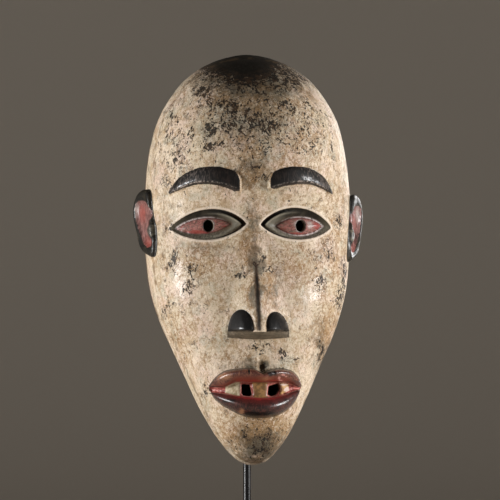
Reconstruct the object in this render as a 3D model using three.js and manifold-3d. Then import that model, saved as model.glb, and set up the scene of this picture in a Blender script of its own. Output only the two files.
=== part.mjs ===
// A carved and painted wooden face mask of the Kongo type, hollow behind, held up by a black steel stand.
// Millimetres, +Z up. The mask faces -Y. The origin is the centre of the stand's underside.
import * as THREE from "three";
import { mergeVertices } from "three/addons/utils/BufferGeometryUtils.js";
import Module from "manifold-3d";

const wasm = await Module();
wasm.setup();

// Stand
const BASE_SIDE = 130;
const BASE_HEIGHT = 12;
const BASE_CORNER = 3;
const BASE_BEVEL = 1;
const CHIN_ABOVE_FLOOR = 100;
const ROD_RADIUS = 3;
const ROD_ACROSS = 3.7;
const ROD_BEHIND_CENTRE = 38;
const ROD_SIDES = 16;
const SOCKET_DEPTH = 8;
const FIT_GAP = 0.4;
const STRAP_THICKNESS = 3;
const ARM_WIDTH = 8;
// Flat crosspieces of the cradle, behind the eyes and behind the mouth: heights are above the chin
const STRAPS = [
  { height: 184, depth: 12, tall: 24, halfLength: 66 },
  { height: 56, depth: 22, tall: 20, halfLength: 27.5 },
];
const HOOK_BEND_HEIGHT = 236;
const HOOK_TIP = { depth: 36, height: 300, radius: 4.5 };

// Mask: heights are above the chin, depths are ahead of the flat back rim
const MASK_HEIGHT = 320;
const HALF_WIDTH = 80;
const FACE_CENTRE_HEIGHT = 185;
const SECTION_POWER = 2.35;
const SIDE_WALL = 8.5;
const FRONT_WALL = 10.5;
const RIM_TAPER = 0.03;
const CHIN_TAPER = 0.06;

// Right half of the outline seen from the front, from the chin to the crown: [half width, height]
const OUTLINE = [
  [0, 0], [11, 3.6], [21, 13], [31.5, 28], [43, 51], [57, 82], [69.5, 112], [77.5, 145], [HALF_WIDTH, 187],
  [79, 222], [74.3, 254], [65.5, 278], [49, 300], [27, 314.5], [0, MASK_HEIGHT],
];
// Profile down the middle, without nose and lips: [depth, height]
const PROFILE = [
  [62, 0], [74, 5], [80.5, 14], [84, 28], [86.5, 45], [89, 65], [91, 85], [93, 108], [94, 132], [93, 156],
  [92.5, 180], [95.5, 203], [100, 222], [101.5, 242], [97, 264], [87.5, 283], [73, 299], [53, 311.5],
  [24, MASK_HEIGHT],
];
// Depth of the widest contour, where the face turns into the side wall: [depth, height]
const SHOULDER = [
  [62, 0], [57, 12], [52, 30], [46, 60], [40, 110], [34, 160], [28, 215], [24, MASK_HEIGHT],
];
// Soft swellings of the face: the muzzle and the two hollows round the eyes
const SWELLINGS = [
  { x: 0.5, height: 57, wide: 36, tall: 25, rise: 6.5 },
  { x: -38, height: 192, wide: 24, tall: 16, rise: -2.8 },
  { x: 32, height: 192, wide: 24, tall: 16, rise: -2.8 },
];

// Nose
const NOSE = {
  root: 186,
  tip: 105,
  base: 98.2,
  rise: 19.5,
  rootX: -3,
  tipX: 0.6,
  rootHalfWidth: 5.5,
  halfWidth: 21,
  flare: 1.5,
};
const NOSTRIL = { offset: 13.4, halfWidth: 9.6, bottom: 104, height: 17, rise: 16.5 };

// Eyes and brows: x is the distance out from EYES_X
const EYES_X = -2.8;
const EYE = { x: 34.3, height: 186.3, halfLength: 28.4, top: 13.4, bottom: 10.5, lean: 1.8, depth: 3.6 };
const EYEBALL = { x: 38, height: 186.2, halfLength: 19.2, top: 6.2, bottom: 6.2, rise: 3 };
const PUPIL = { middle: -1.1, x: 35.9, height: 186.5, halfWidth: 3.9, halfHeight: 4.7 };
const BROW = { inner: 10.5, outer: 64, rise: 4.2, crest: -0.45 };
// Middle line of a brow from its inner end out: [share of the way, height, half thickness]
const BROW_LINE = [
  [0, 219.5, 4], [0.06, 221.5, 6.5], [0.2, 224, 7.1], [0.35, 225.4, 7.2], [0.56, 225.4, 6.6],
  [0.72, 223.2, 5.9], [0.885, 218.3, 4.6], [1, 212, 1.2],
];

// Mouth
const LIPS = { x: 0.4, rise: 11.5, crest: 0.4 };
// Edges of each lip from its left corner to its right: [height, share of the way]
const UPPER_LIP = {
  halfLength: 36.3,
  top: [
    [62.6, 0], [68.4, 0.05], [71.8, 0.1], [74.4, 0.17], [75.8, 0.29], [76.2, 0.4], [75, 0.46], [73, 0.53],
    [74.4, 0.6], [75.6, 0.68], [75.9, 0.76], [74, 0.87], [69.4, 0.95], [62.8, 1],
  ],
  bottom: [
    [61.4, 0], [60.9, 0.08], [61.4, 0.16], [63.6, 0.22], [65, 0.28], [64.8, 0.45], [64.9, 0.72], [64.4, 0.84],
    [62.6, 0.9], [61.1, 0.96], [61.2, 1],
  ],
};
const LOWER_LIP = {
  halfLength: 34.9,
  top: [
    [57.2, 0], [56.6, 0.05], [55.5, 0.18], [54.2, 0.33], [53.3, 0.45], [53, 0.56], [53.7, 0.69], [55.4, 0.81],
    [58, 0.93], [59.2, 1],
  ],
  bottom: [
    [56.2, 0], [52, 0.036], [46.8, 0.117], [43.4, 0.2], [40.4, 0.28], [38, 0.377], [37, 0.483], [37.3, 0.6],
    [38.8, 0.726], [41.4, 0.807], [45.3, 0.889], [50.4, 0.953], [57.6, 1],
  ],
};
const TOOTH_SINK = 4.5;
// Corners of the two gaps between the teeth: [x, height]
const MOUTH_HOLES = [
  [[-12.1, 56.6], [-11.8, 63.8], [-5.6, 63.4], [-3.7, 55.8], [-4.3, 53.9], [-10.8, 54.5]],
  [[8.2, 55.2], [8.9, 62.2], [17.2, 63.9], [18.2, 59.4], [15.3, 55], [11.2, 54]],
];

// Ears: each is a plate that runs out and back from its front root to its back edge
const EAR = { halfHeight: 25.8, thickness: 5.6, dish: 3.2, middle: 0.45 };
const EARS = [
  { side: -1, height: 189, front: { x: 76, depth: 52 }, back: { x: 88, depth: 20 } },
  { side: 1, height: 185, front: { x: 77, depth: 48 }, back: { x: 91, depth: 15 } },
];
// An ear's outline in its own plane: [share of its width from the front root, share of its half height]
const EAR_OUTLINE = [
  [0.45, 1], [0.79, 0.85], [0.98, 0.44], [0.95, 0.09], [0.8, -0.35], [0.6, -0.78], [0.3, -0.97], [0, -1],
  [-0.08, -0.6], [-0.03, -0.1], [0.08, 0.25], [0.2, 0.88],
];

// How far the edge of a raised form sinks into the face, and how far its back does
const EDGE_BITE = 0.6;
const BACK_BITE = 5;

const HALF_TURN = Math.PI;
const FULL_TURN = Math.PI * 2;
const THROUGH = 120;
const PAST_RIM = 6;

const clamp01 = (v) => Math.min(1, Math.max(0, v));
const power = (v, p) => Math.pow(Math.max(0, v), p);
const mix = (a, b, share) => a + (b - a) * share;

// A smooth curve through [value, height] stations, read as the value at a height.
function readAt(stations) {
  const curve = new THREE.SplineCurve(stations.map(([value, height]) => new THREE.Vector2(value, height)));
  const samples = curve.getPoints(stations.length * 12);
  return (height) => {
    const above = samples.findIndex((p) => p.y >= height);
    if (above <= 0) return samples[above === 0 ? 0 : samples.length - 1].x;
    const [low, high] = [samples[above - 1], samples[above]];
    return mix(low.x, high.x, (height - low.y) / (high.y - low.y));
  };
}

const halfWidthAt = readAt(OUTLINE);
const profileAt = readAt(PROFILE);
const shoulderAt = readAt(SHOULDER);
const outlineRing = [...OUTLINE, ...OUTLINE.slice(1, -1).reverse().map(([x, z]) => [-x, z])];
const outlineCurve = new THREE.CatmullRomCurve3(
  outlineRing.map(([x, z]) => new THREE.Vector3(x, 0, z)),
  true,
  "catmullrom",
);

// How far the plain face stands ahead of the rim at a place seen from the front.
function faceDepth(x, z) {
  const across = clamp01(Math.abs(x) / Math.max(0.01, halfWidthAt(z)));
  const crown = Math.sqrt(1 - power(across, SECTION_POWER));
  let depth = mix(shoulderAt(z), profileAt(z), crown);
  for (const s of SWELLINGS) {
    depth += s.rise * crown * Math.exp(-(((x - s.x) / s.wide) ** 2) - ((z - s.height) / s.tall) ** 2);
  }
  return depth;
}

// A sphere pulled into another closed form. place() gets the turn round the Y axis, from 0 to 1, and the
// pole, from 0 at the front to 1 at the back, and gives the vertex its place.
function pulledSphere(around, rings, place) {
  const sphere = new THREE.SphereGeometry(1, around, rings);
  sphere.deleteAttribute("normal");
  sphere.deleteAttribute("uv");
  const geometry = mergeVertices(sphere, 1e-5);
  const position = geometry.getAttribute("position");
  for (let i = 0; i < position.count; i++) {
    const [x, y, z] = [position.getX(i), position.getY(i), position.getZ(i)];
    const pole = Math.acos(THREE.MathUtils.clamp(-y, -1, 1)) / HALF_TURN;
    const turn = (Math.atan2(x, -z) / FULL_TURN + 1) % 1;
    const p = place(turn, pole);
    position.setXYZ(i, p.x, p.y, p.z);
  }
  return geometry;
}

// A closed geometry as a solid that can be joined and cut.
function solid(geometry) {
  const bare = geometry.clone();
  bare.deleteAttribute("normal");
  bare.deleteAttribute("uv");
  const merged = mergeVertices(bare, 1e-4);
  const vertProperties = merged.getAttribute("position").array;
  const triVerts = new Uint32Array(merged.index.array);
  const made = new wasm.Manifold(new wasm.Mesh({ numProp: 3, vertProperties, triVerts }));
  if (made.volume() > 0) {
    return made;
  }
  // Its faces point inwards, so each triangle is turned over.
  for (let i = 0; i < triVerts.length; i += 3) {
    [triVerts[i + 1], triVerts[i + 2]] = [triVerts[i + 2], triVerts[i + 1]];
  }
  return new wasm.Manifold(new wasm.Mesh({ numProp: 3, vertProperties, triVerts }));
}

function geometryOf(manifold) {
  const mesh = manifold.getMesh();
  const geometry = new THREE.BufferGeometry();
  geometry.setAttribute("position", new THREE.BufferAttribute(mesh.vertProperties, 3));
  geometry.setIndex(new THREE.BufferAttribute(mesh.triVerts, 1));
  geometry.computeVertexNormals();
  return geometry;
}

// The head's form: rings grow from the middle of the face to the outline, then run back as the side wall.
// inset and sink take it in for the hollow, and rimDepth is where its back closes.
function headForm(around, rings, inset, sink, rimDepth) {
  const [domeShare, wallShare] = [0.8, 1 - 1 / rings];
  const centre = new THREE.Vector2(0, FACE_CENTRE_HEIGHT);
  return pulledSphere(around, rings, (turn, pole) => {
    const edge = outlineCurve.getPoint(turn);
    const reach = new THREE.Vector2(edge.x, edge.z).sub(centre);
    const down = clamp01(-reach.y / FACE_CENTRE_HEIGHT);
    const dome = clamp01(pole / domeShare);
    const back = clamp01((pole - domeShare) / (wallShare - domeShare));
    const cap = clamp01((1 - pole) / (1 - wallShare));
    const grown = Math.sin((dome * HALF_TURN) / 2);
    const taper = 1 - (RIM_TAPER + CHIN_TAPER * down * down) * back;
    const seen = centre.clone().addScaledVector(reach, grown);
    const inner = reach.setLength(reach.length() - inset);
    const here = centre.clone().addScaledVector(inner, grown * taper * cap);
    return new THREE.Vector3(here.x, -mix(faceDepth(seen.x, seen.y) - sink, rimDepth, back), here.y);
  });
}

// A rounded patch of relief with a star-shaped outline, standing on the face and sunk into it behind.
function reliefPatch(around, rings, outline, rise) {
  return pulledSphere(around, rings, (turn, pole) => {
    const grown = Math.sin(pole * HALF_TURN);
    const { x, z } = outline(turn * FULL_TURN, grown);
    const stand = pole <= 0.5 ? rise(z, grown) - EDGE_BITE : -BACK_BITE;
    return new THREE.Vector3(x, -(faceDepth(x, z) + stand), z);
  });
}

// A roll of relief that runs across the face, such as a brow or a lip. line(share) gives its middle and its
// half thickness. crest says where it stands highest, from -1 at its lower edge to 1 at its upper edge: it
// rolls over to the nearer edge, and slopes to slopeEnd of its rise at the far one.
function reliefRoll(around, rings, line, crest, slopeEnd) {
  return pulledSphere(around, rings, (turn, pole) => {
    const share = (1 - Math.cos(pole * HALF_TURN)) / 2;
    const { x, z, half, rise } = line(share);
    const up = Math.cos(turn * FULL_TURN);
    const height = z + half * up;
    const toNearEdge = Math.sign(crest) * (up - crest);
    const rolled = power(1 - power(toNearEdge / (1 - Math.abs(crest)), 2.2), 0.6);
    const sloped = 1 - (1 - slopeEnd) * power(-toNearEdge / (1 + Math.abs(crest)), 1.7);
    const front = Math.sin(turn * FULL_TURN) > -1e-6;
    const stand = front ? rise * (toNearEdge > 0 ? rolled : sloped) - EDGE_BITE : -BACK_BITE;
    return new THREE.Vector3(x, -(faceDepth(x, height) + stand), height);
  });
}

// The nose is a wedge that runs from its base up to its root; each level of it is a rounded ridge.
function nose() {
  const riseAt = (z) =>
    z > NOSE.tip
      ? NOSE.rise * power((NOSE.root - z) / (NOSE.root - NOSE.tip), 1.15)
      : NOSE.rise * clamp01((z - NOSE.base) / (NOSE.tip - NOSE.base));
  return pulledSphere(16, 14, (turn, pole) => {
    const share = (1 - Math.cos(pole * HALF_TURN)) / 2;
    const z = mix(NOSE.base, NOSE.root, share);
    const half = mix(NOSE.rootHalfWidth, NOSE.halfWidth, power(1 - share, NOSE.flare));
    const side = Math.cos(turn * FULL_TURN);
    const x = mix(NOSE.tipX, NOSE.rootX, share) + half * side * Math.min(1, share * 60);
    const front = Math.sin(turn * FULL_TURN) > -1e-6;
    const stand = front ? riseAt(z) * power(1 - side * side, 0.75) - EDGE_BITE : -BACK_BITE;
    return new THREE.Vector3(x, -(faceDepth(x, z) + stand), z);
  });
}

function nostril(side) {
  const outline = (angle, grown) => {
    const up = Math.sin(angle);
    return {
      x: NOSE.tipX + side * NOSTRIL.offset + NOSTRIL.halfWidth * Math.cos(angle) * grown,
      z: NOSTRIL.bottom + (up > 0 ? NOSTRIL.height : NOSTRIL.height / 6) * up * grown,
    };
  };
  const rise = (z, grown) => {
    const above = clamp01((z - NOSTRIL.bottom) / NOSTRIL.height);
    return NOSTRIL.rise * Math.sqrt(1 - 0.9 * Math.min(1, grown * grown)) * (1 - 0.4 * above);
  };
  return reliefPatch(20, 8, outline, rise);
}

function brow(side) {
  const heightAt = readAt(BROW_LINE.map(([share, height]) => [height, share]));
  const halfAt = readAt(BROW_LINE.map(([share, , half]) => [half, share]));
  const line = (share) => {
    const end = Math.min(1, Math.sqrt(share * 30), Math.sqrt((1 - share) * 30));
    return {
      x: EYES_X + side * mix(BROW.inner, BROW.outer, share),
      z: heightAt(share),
      half: halfAt(share) * end,
      rise: BROW.rise * end,
    };
  };
  return reliefRoll(12, 18, line, BROW.crest, 0.35);
}

// A prism along -Y from a shape drawn in x and z. Its back sinks below the face's surface and follows it.
function sunkPrism(shape, sink) {
  const geometry = new THREE.ExtrudeGeometry(shape, { depth: 1, bevelEnabled: false });
  geometry.rotateX(HALF_TURN / 2);
  const position = geometry.getAttribute("position");
  for (let i = 0; i < position.count; i++) {
    const [x, z] = [position.getX(i), position.getZ(i)];
    position.setY(i, position.getY(i) < -0.5 ? -THROUGH : sink - faceDepth(x, z));
  }
  return geometry;
}

// The eye's hollow: two arcs that meet at the inner and outer corners, cut to one depth.
function eyeHollow(side) {
  const steps = 14;
  const points = [];
  for (let i = 0; i < steps * 2; i++) {
    const along = Math.cos((i / steps) * HALF_TURN);
    const bulge = power(1 - along * along, 0.8) * (i <= steps ? EYE.top : -EYE.bottom);
    const x = EYES_X + side * (EYE.x + along * EYE.halfLength);
    points.push(new THREE.Vector2(x, EYE.height - EYE.lean * along + bulge));
  }
  return sunkPrism(new THREE.Shape(points), EYE.depth);
}

function eyeball(side) {
  const outline = (angle, grown) => {
    const [along, up] = [Math.cos(angle), Math.sin(angle)];
    const tall = up > 0 ? EYEBALL.top : EYEBALL.bottom;
    return {
      x: EYES_X + side * (EYEBALL.x + EYEBALL.halfLength * along * grown),
      z: EYEBALL.height + tall * up * Math.sqrt(Math.abs(up)) * grown,
    };
  };
  const rise = (z, grown) => EYEBALL.rise * Math.sqrt(1 - Math.min(1, grown * grown)) - EYE.depth;
  return reliefPatch(20, 6, outline, rise);
}

const pupil = (side) =>
  new THREE.CylinderGeometry(1, 1, THROUGH, 16)
    .scale(PUPIL.halfWidth, 1, PUPIL.halfHeight)
    .translate(PUPIL.middle + side * PUPIL.x, -THROUGH / 2 - SIDE_WALL, PUPIL.height);

const bow = (share) => Math.sin(share * HALF_TURN);
const lipX = (share, halfLength) => LIPS.x + halfLength * (2 * share - 1);
const [upperLipTop, upperLipBottom] = [UPPER_LIP.top, UPPER_LIP.bottom].map(readAt);
const [lowerLipTop, lowerLipBottom] = [LOWER_LIP.top, LOWER_LIP.bottom].map(readAt);

function lip(topAt, bottomAt, halfLength, crest) {
  const line = (share) => ({
    x: lipX(share, halfLength),
    z: (topAt(share) + bottomAt(share)) / 2,
    half: (Math.max(0.6, topAt(share) - bottomAt(share)) / 2) * Math.min(1, Math.sqrt(bow(share) * 6)),
    rise: LIPS.rise * power(bow(share), 0.45),
  });
  return reliefRoll(14, 20, line, crest, 0.4);
}

// The gap between the lips, cut back to the front of the teeth.
function mouthGap() {
  const shares = Array.from({ length: 19 }, (_, i) => i / 18);
  const edge = (share, edgeAt, halfLength) => new THREE.Vector2(lipX(share, halfLength), edgeAt(share));
  const upper = shares.map((share) => edge(share, upperLipBottom, UPPER_LIP.halfLength));
  const lower = shares.reverse().map((share) => edge(share, lowerLipTop, LOWER_LIP.halfLength));
  return sunkPrism(new THREE.Shape([...upper, ...lower]), TOOTH_SINK);
}

function mouthHole(corners) {
  const shape = new THREE.Shape(corners.map(([x, z]) => new THREE.Vector2(x, z)));
  const geometry = new THREE.ExtrudeGeometry(shape, { depth: THROUGH, bevelEnabled: false });
  return geometry.rotateX(HALF_TURN / 2).translate(0, -SIDE_WALL, 0);
}

// A thick plate with a dished face and a rounded rim.
function ear({ side, height, front, back }) {
  const root = new THREE.Vector3(side * front.x, -front.depth, height);
  const along = new THREE.Vector3(side * back.x, -back.depth, height).sub(root);
  const out = new THREE.Vector3(side * Math.abs(along.y), -Math.abs(along.x), 0).normalize();
  const outline = new THREE.CatmullRomCurve3(
    EAR_OUTLINE.map(([across, up]) => new THREE.Vector3(across, up, 0)),
    true,
    "catmullrom",
  );
  return pulledSphere(24, 10, (turn, pole) => {
    const grown = Math.sin(pole * HALF_TURN);
    const edge = outline.getPoint(turn);
    const dish = pole < 0.5 ? EAR.dish * (power(grown, 3) - 0.75) * (1 - power(grown, 8)) : 0;
    const thick = (pole < 0.5 ? 0.5 : -0.5) * EAR.thickness * Math.sqrt(1 - Math.min(1, power(grown, 6)));
    return root
      .clone()
      .addScaledVector(along, mix(EAR.middle, edge.x, grown))
      .add(new THREE.Vector3(0, 0, EAR.halfHeight * edge.y * grown))
      .addScaledVector(out, thick + dish);
  });
}

function mask() {
  const sides = [-1, 1];
  const both = (make) => sides.map((side) => make(side));
  const join = (body, forms) => forms.reduce((grown, form) => grown.add(solid(form)), body);
  const cut = (body, forms) => forms.reduce((left, form) => left.subtract(solid(form)), body);
  const lips = [
    lip(upperLipTop, upperLipBottom, UPPER_LIP.halfLength, LIPS.crest),
    lip(lowerLipTop, lowerLipBottom, LOWER_LIP.halfLength, -LIPS.crest),
  ];
  const head = solid(headForm(60, 20, 0, 0, 0));
  const featured = join(head, [nose(), ...both(nostril), ...both(brow), ...EARS.map(ear), ...lips]);
  const eyed = join(cut(featured, both(eyeHollow)), both(eyeball));
  const hollow = headForm(36, 15, SIDE_WALL, FRONT_WALL, -PAST_RIM);
  return geometryOf(cut(eyed, [mouthGap(), hollow, ...MOUTH_HOLES.map(mouthHole), ...both(pupil)]));
}

// The rod runs straight up just behind the rim and ends in a hook that reaches forward under the crown. Two
// short arms welded to it carry flat crosspieces inside the hollow.
function rod() {
  const depth = -(ROD_RADIUS + FIT_GAP);
  const place = (ahead, height) => new THREE.Vector3(ROD_ACROSS, -ahead, height);
  const foot = BASE_HEIGHT - SOCKET_DEPTH - CHIN_ABOVE_FLOOR;
  const length = HOOK_BEND_HEIGHT - foot;
  const straight = new THREE.CylinderGeometry(ROD_RADIUS, ROD_RADIUS, length, ROD_SIDES)
    .rotateX(HALF_TURN / 2)
    .translate(ROD_ACROSS, -depth, foot + length / 2);
  const bend = new THREE.CubicBezierCurve3(
    place(depth, HOOK_BEND_HEIGHT - 1),
    place(depth, HOOK_BEND_HEIGHT + 26),
    place(HOOK_TIP.depth, HOOK_TIP.height - 34),
    place(HOOK_TIP.depth, HOOK_TIP.height - HOOK_TIP.radius),
  );
  const round = new THREE.Path().absarc(0, 0, ROD_RADIUS, 0, FULL_TURN);
  const section = new THREE.Shape(round.getPoints(ROD_SIDES / 2));
  const hook = new THREE.ExtrudeGeometry(section, { steps: 14, extrudePath: bend, bevelEnabled: false });
  const tip = new THREE.SphereGeometry(HOOK_TIP.radius, ROD_SIDES, 10).translate(
    ROD_ACROSS,
    -HOOK_TIP.depth,
    HOOK_TIP.height - HOOK_TIP.radius,
  );
  let welded = solid(straight).add(solid(hook)).add(solid(tip));
  for (const strap of STRAPS) {
    const plate = new THREE.BoxGeometry(2 * strap.halfLength, STRAP_THICKNESS, strap.tall);
    const arm = new THREE.BoxGeometry(ARM_WIDTH, strap.depth - depth, ARM_WIDTH);
    welded = welded
      .add(solid(plate.translate(0, -strap.depth, strap.height)))
      .add(solid(arm.translate(ROD_ACROSS, -(strap.depth + depth) / 2, strap.height)));
  }
  return geometryOf(welded);
}

function base() {
  const half = BASE_SIDE / 2 - BASE_BEVEL;
  const middle = half - BASE_CORNER;
  const corners = [[1, -1], [1, 1], [-1, 1], [-1, -1]];
  const plan = new THREE.Shape();
  corners.forEach(([x, y], i) => {
    const start = ((i - 1) * HALF_TURN) / 2;
    plan.absarc(x * middle, y * middle, BASE_CORNER, start, start + HALF_TURN / 2);
  });
  const block = new THREE.ExtrudeGeometry(plan, {
    depth: BASE_HEIGHT - 2 * BASE_BEVEL,
    bevelSize: BASE_BEVEL,
    bevelThickness: BASE_BEVEL,
    bevelSegments: 1,
    curveSegments: 3,
  }).translate(0, 0, BASE_BEVEL);
  const socketRadius = ROD_RADIUS + FIT_GAP;
  const socket = new THREE.CylinderGeometry(socketRadius, socketRadius, SOCKET_DEPTH * 2, ROD_SIDES)
    .rotateX(HALF_TURN / 2)
    .translate(ROD_ACROSS, ROD_BEHIND_CENTRE, BASE_HEIGHT - FIT_GAP);
  return geometryOf(solid(block).subtract(solid(socket)));
}

const paintedWood = new THREE.MeshStandardMaterial({ color: 0xcbb894, roughness: 0.55, metalness: 0 });
const blackSteel = new THREE.MeshStandardMaterial({ color: 0x15161a, roughness: 0.25, metalness: 0.9 });
const blackPlate = new THREE.MeshStandardMaterial({ color: 0x1b1a19, roughness: 0.5, metalness: 0.9 });

function named(name, geometry, material) {
  const mesh = new THREE.Mesh(geometry, material);
  mesh.name = name;
  return mesh;
}

const held = new THREE.Group();
held.position.set(0, ROD_BEHIND_CENTRE - ROD_RADIUS - FIT_GAP, CHIN_ABOVE_FLOOR);
held.add(named("mask", mask(), paintedWood), named("stand_rod", rod(), blackSteel));

const object = new THREE.Group();
object.add(held, named("stand_base", base(), blackPlate));

export default object;
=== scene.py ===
# A carved and painted wooden face mask, hollow behind, on a black steel stand: the finish of its surfaces.
import math

import bmesh
import bpy
import numpy as np
from mathutils import Matrix


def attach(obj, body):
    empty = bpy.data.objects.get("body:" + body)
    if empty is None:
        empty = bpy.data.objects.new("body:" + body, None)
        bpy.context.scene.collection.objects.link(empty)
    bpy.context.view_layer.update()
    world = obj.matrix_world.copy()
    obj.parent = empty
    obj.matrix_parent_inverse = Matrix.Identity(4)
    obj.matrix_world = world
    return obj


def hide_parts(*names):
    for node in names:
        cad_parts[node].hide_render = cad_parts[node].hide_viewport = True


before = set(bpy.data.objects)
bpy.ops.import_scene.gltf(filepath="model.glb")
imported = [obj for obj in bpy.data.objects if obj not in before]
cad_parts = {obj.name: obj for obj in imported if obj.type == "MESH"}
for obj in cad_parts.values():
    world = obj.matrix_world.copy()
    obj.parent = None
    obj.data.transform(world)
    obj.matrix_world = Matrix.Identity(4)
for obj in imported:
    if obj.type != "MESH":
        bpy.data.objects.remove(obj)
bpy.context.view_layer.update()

# Lengths of the mask are millimetres in its own frame: x to the viewer's right, height above the chin, and
# depth ahead of the flat back rim. They become metres in the frame when its mesh is finished.
MM = 0.001
CHIN_ABOVE_FLOOR = 100.0
RIM_PLANE_Y = 34.6

MASK_HEIGHT = 320.0
HALF_WIDTH = 80.0
FACE_CENTRE_HEIGHT = 185.0
SECTION_POWER = 2.35
SIDE_WALL = 8.5
FRONT_WALL = 10.5
RIM_TAPER = 0.03
CHIN_TAPER = 0.06
PAST_RIM = 6.0
THROUGH = 120.0

# Right half of the outline seen from the front, from the chin to the crown: (half width, height)
OUTLINE = [
    (0, 0), (11, 3.6), (21, 13), (31.5, 28), (43, 51), (57, 82), (69.5, 112), (77.5, 145), (HALF_WIDTH, 187),
    (79, 222), (74.3, 254), (65.5, 278), (49, 300), (27, 314.5), (0, MASK_HEIGHT),
]
# Profile down the middle, without nose and lips: (depth, height)
PROFILE = [
    (62, 0), (74, 5), (80.5, 14), (84, 28), (86.5, 45), (89, 65), (91, 85), (93, 108), (94, 132), (93, 156),
    (92.5, 180), (95.5, 203), (100, 222), (101.5, 242), (97, 264), (87.5, 283), (73, 299), (53, 311.5),
    (24, MASK_HEIGHT),
]
# Depth of the widest contour, where the face turns into the side wall: (depth, height)
SHOULDER = [(62, 0), (57, 12), (52, 30), (46, 60), (40, 110), (34, 160), (28, 215), (24, MASK_HEIGHT)]
# Soft swellings of the face: x, height, half width, half height, rise
SWELLINGS = [
    (0.5, 57, 36, 25, 6.5),
    (-38, 192, 24, 16, -2.8),
    (32, 192, 24, 16, -2.8),
]

# The nose: heights of its root, tip and lowest edge, how far it stands out, its middle and half width at the
# root and at the tip, how far its lower edge reaches and drops below the sill at the sides, and how round its
# crest and how soft its foot is
NOSE = dict(
    root=186, tip=105, base=98.2, rise=19.5, root_x=-3, tip_x=0.6, root_half=8, half=27,
    floor_half=24.2, floor_drop=4.6, crest=0.0022, foot=0.03,
)
# Arched nostrils, each with its middle, half width and peak as x, on one level sill
NOSTRILS = [dict(x=-14.0, half=9.2, peak=-13.2, height=17.4), dict(x=15.2, half=9.9, peak=13.0, height=15.6)]
NOSTRIL_SILL = 104.2
NOSTRIL_RISE = 6.2
# How far the sides of a nostril's dome run on below the sill, so that it is full where it meets the sill
DOME_BELOW_SILL = 20
EYES = [
    dict(side=-1, x=-36.8, height=186.3, half=28.4, top=13.2, bottom=10.6, lean=1.8),
    dict(side=1, x=31.3, height=186.3, half=28.6, top=14.2, bottom=10.4, lean=1.2),
]
EYEBALLS = [
    dict(side=-1, x=-40.6, height=186.0, half=20.0, top=6.3, bottom=5.9, lean=1.9),
    dict(side=1, x=34.2, height=186.2, half=18.6, top=6.6, bottom=6.8, lean=0.0),
]
EYE_DEPTH = 4.4
EYEBALL_STEP = 1.1
EYEBALL_RISE = 2.8
PUPILS = [dict(x=-37.0, height=186.5), dict(x=34.8, height=186.5)]
PUPIL_SIZE = (3.9, 4.7)
BROWS_X = -2.8
BROW = dict(inner=10.5, outer=64, rise=4.2, cut=0.7)
# Middle line of a brow from its inner end out: (share of the way, height, half thickness)
BROW_LINE = [
    (0, 219.5, 4.0), (0.06, 221.5, 6.5), (0.2, 224, 7.1), (0.35, 225.4, 7.2), (0.56, 225.4, 6.6),
    (0.72, 223.2, 5.9), (0.885, 218.3, 4.6), (1, 212, 1.2),
]
# How much lower and thicker each brow's inner end is
BROW_DROOP = {-1: 1.7, 1: 0.4}
LIPS = dict(x=0.4, half=36.3, lower_half=34.9, rise=11.5)
# Edges of each lip from its left corner to its right: (height, share of the way)
UPPER_LIP_TOP = [
    (62.6, 0), (68.4, 0.05), (71.8, 0.1), (74.4, 0.17), (75.8, 0.29), (76.4, 0.4), (75.4, 0.46), (72.4, 0.54),
    (74.4, 0.6), (75.6, 0.68), (75.9, 0.76), (74, 0.87), (69.4, 0.95), (62.8, 1),
]
UPPER_LIP_BOTTOM = [
    (61.4, 0), (60.9, 0.08), (61.4, 0.16), (63.6, 0.22), (65, 0.28), (64.8, 0.45), (64.9, 0.72), (64.4, 0.84),
    (62.6, 0.9), (61.1, 0.96), (61.2, 1),
]
LOWER_LIP_TOP = [
    (57.2, 0), (56.6, 0.05), (55.5, 0.18), (54.2, 0.33), (53.3, 0.45), (53, 0.56), (53.7, 0.69), (55.4, 0.81),
    (58, 0.93), (59.2, 1),
]
LOWER_LIP_BOTTOM = [
    (56.2, 0), (52, 0.036), (46.8, 0.117), (43.4, 0.2), (40.4, 0.28), (38, 0.377), (37, 0.483), (37.3, 0.6),
    (38.8, 0.726), (41.4, 0.807), (45.3, 0.889), (50.4, 0.953), (57.6, 1),
]
# Height of the line where the lips meet, and the corners of the mouth, which the groove round them leaves out
LIPS_MEET = 59
MOUTH_CORNERS = dict(height=58, half=4)
# How deep the mouth lies behind the lips, and how far the teeth stand out of it
MOUTH_SINK = 3.5
TOOTH_STAND = 1.4
# Corners of the teeth that are left, between the lips
TEETH = [
    [(-23.8, 56.6), (-24.2, 61.6), (-21, 64.6), (-13, 65.4), (-12.6, 60), (-13.4, 54.2)],
    [(-3.5, 52.8), (-2.8, 56), (-4.4, 65.6), (8.4, 65.6), (7.7, 56), (8.6, 52.8)],
    [(18.2, 55), (18.6, 60), (17.6, 64.6), (25.4, 63.6), (26.2, 58.4)],
]
# Corners of the two gaps between them, which go right through
MOUTH_HOLES = [
    [(-12.1, 56.6), (-11.8, 63.8), (-5.6, 63.4), (-3.7, 55.8), (-4.3, 53.9), (-10.8, 54.5)],
    [(8.2, 55.2), (8.9, 62.2), (17.2, 63.9), (18.2, 59.4), (15.3, 55), (11.2, 54)],
]
LIP_GROOVE = 0.8
LIP_WRINKLE = 0.2
# Fine splits in the upper lip: x, height, half width, half height
LIP_CRACKS = [(-7.8, 73.4, 0.75, 2.8), (11.9, 72.6, 0.5, 2.2)]
LIP_CRACK_DEPTH = 0.9
EAR = dict(half=25.8, thickness=5.6, dish=3.2, middle=0.45)
EARS = [
    dict(side=-1, height=189, front=(76, 52), back=(88, 20)),
    dict(side=1, height=185, front=(77, 48), back=(91, 15)),
]
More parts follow.
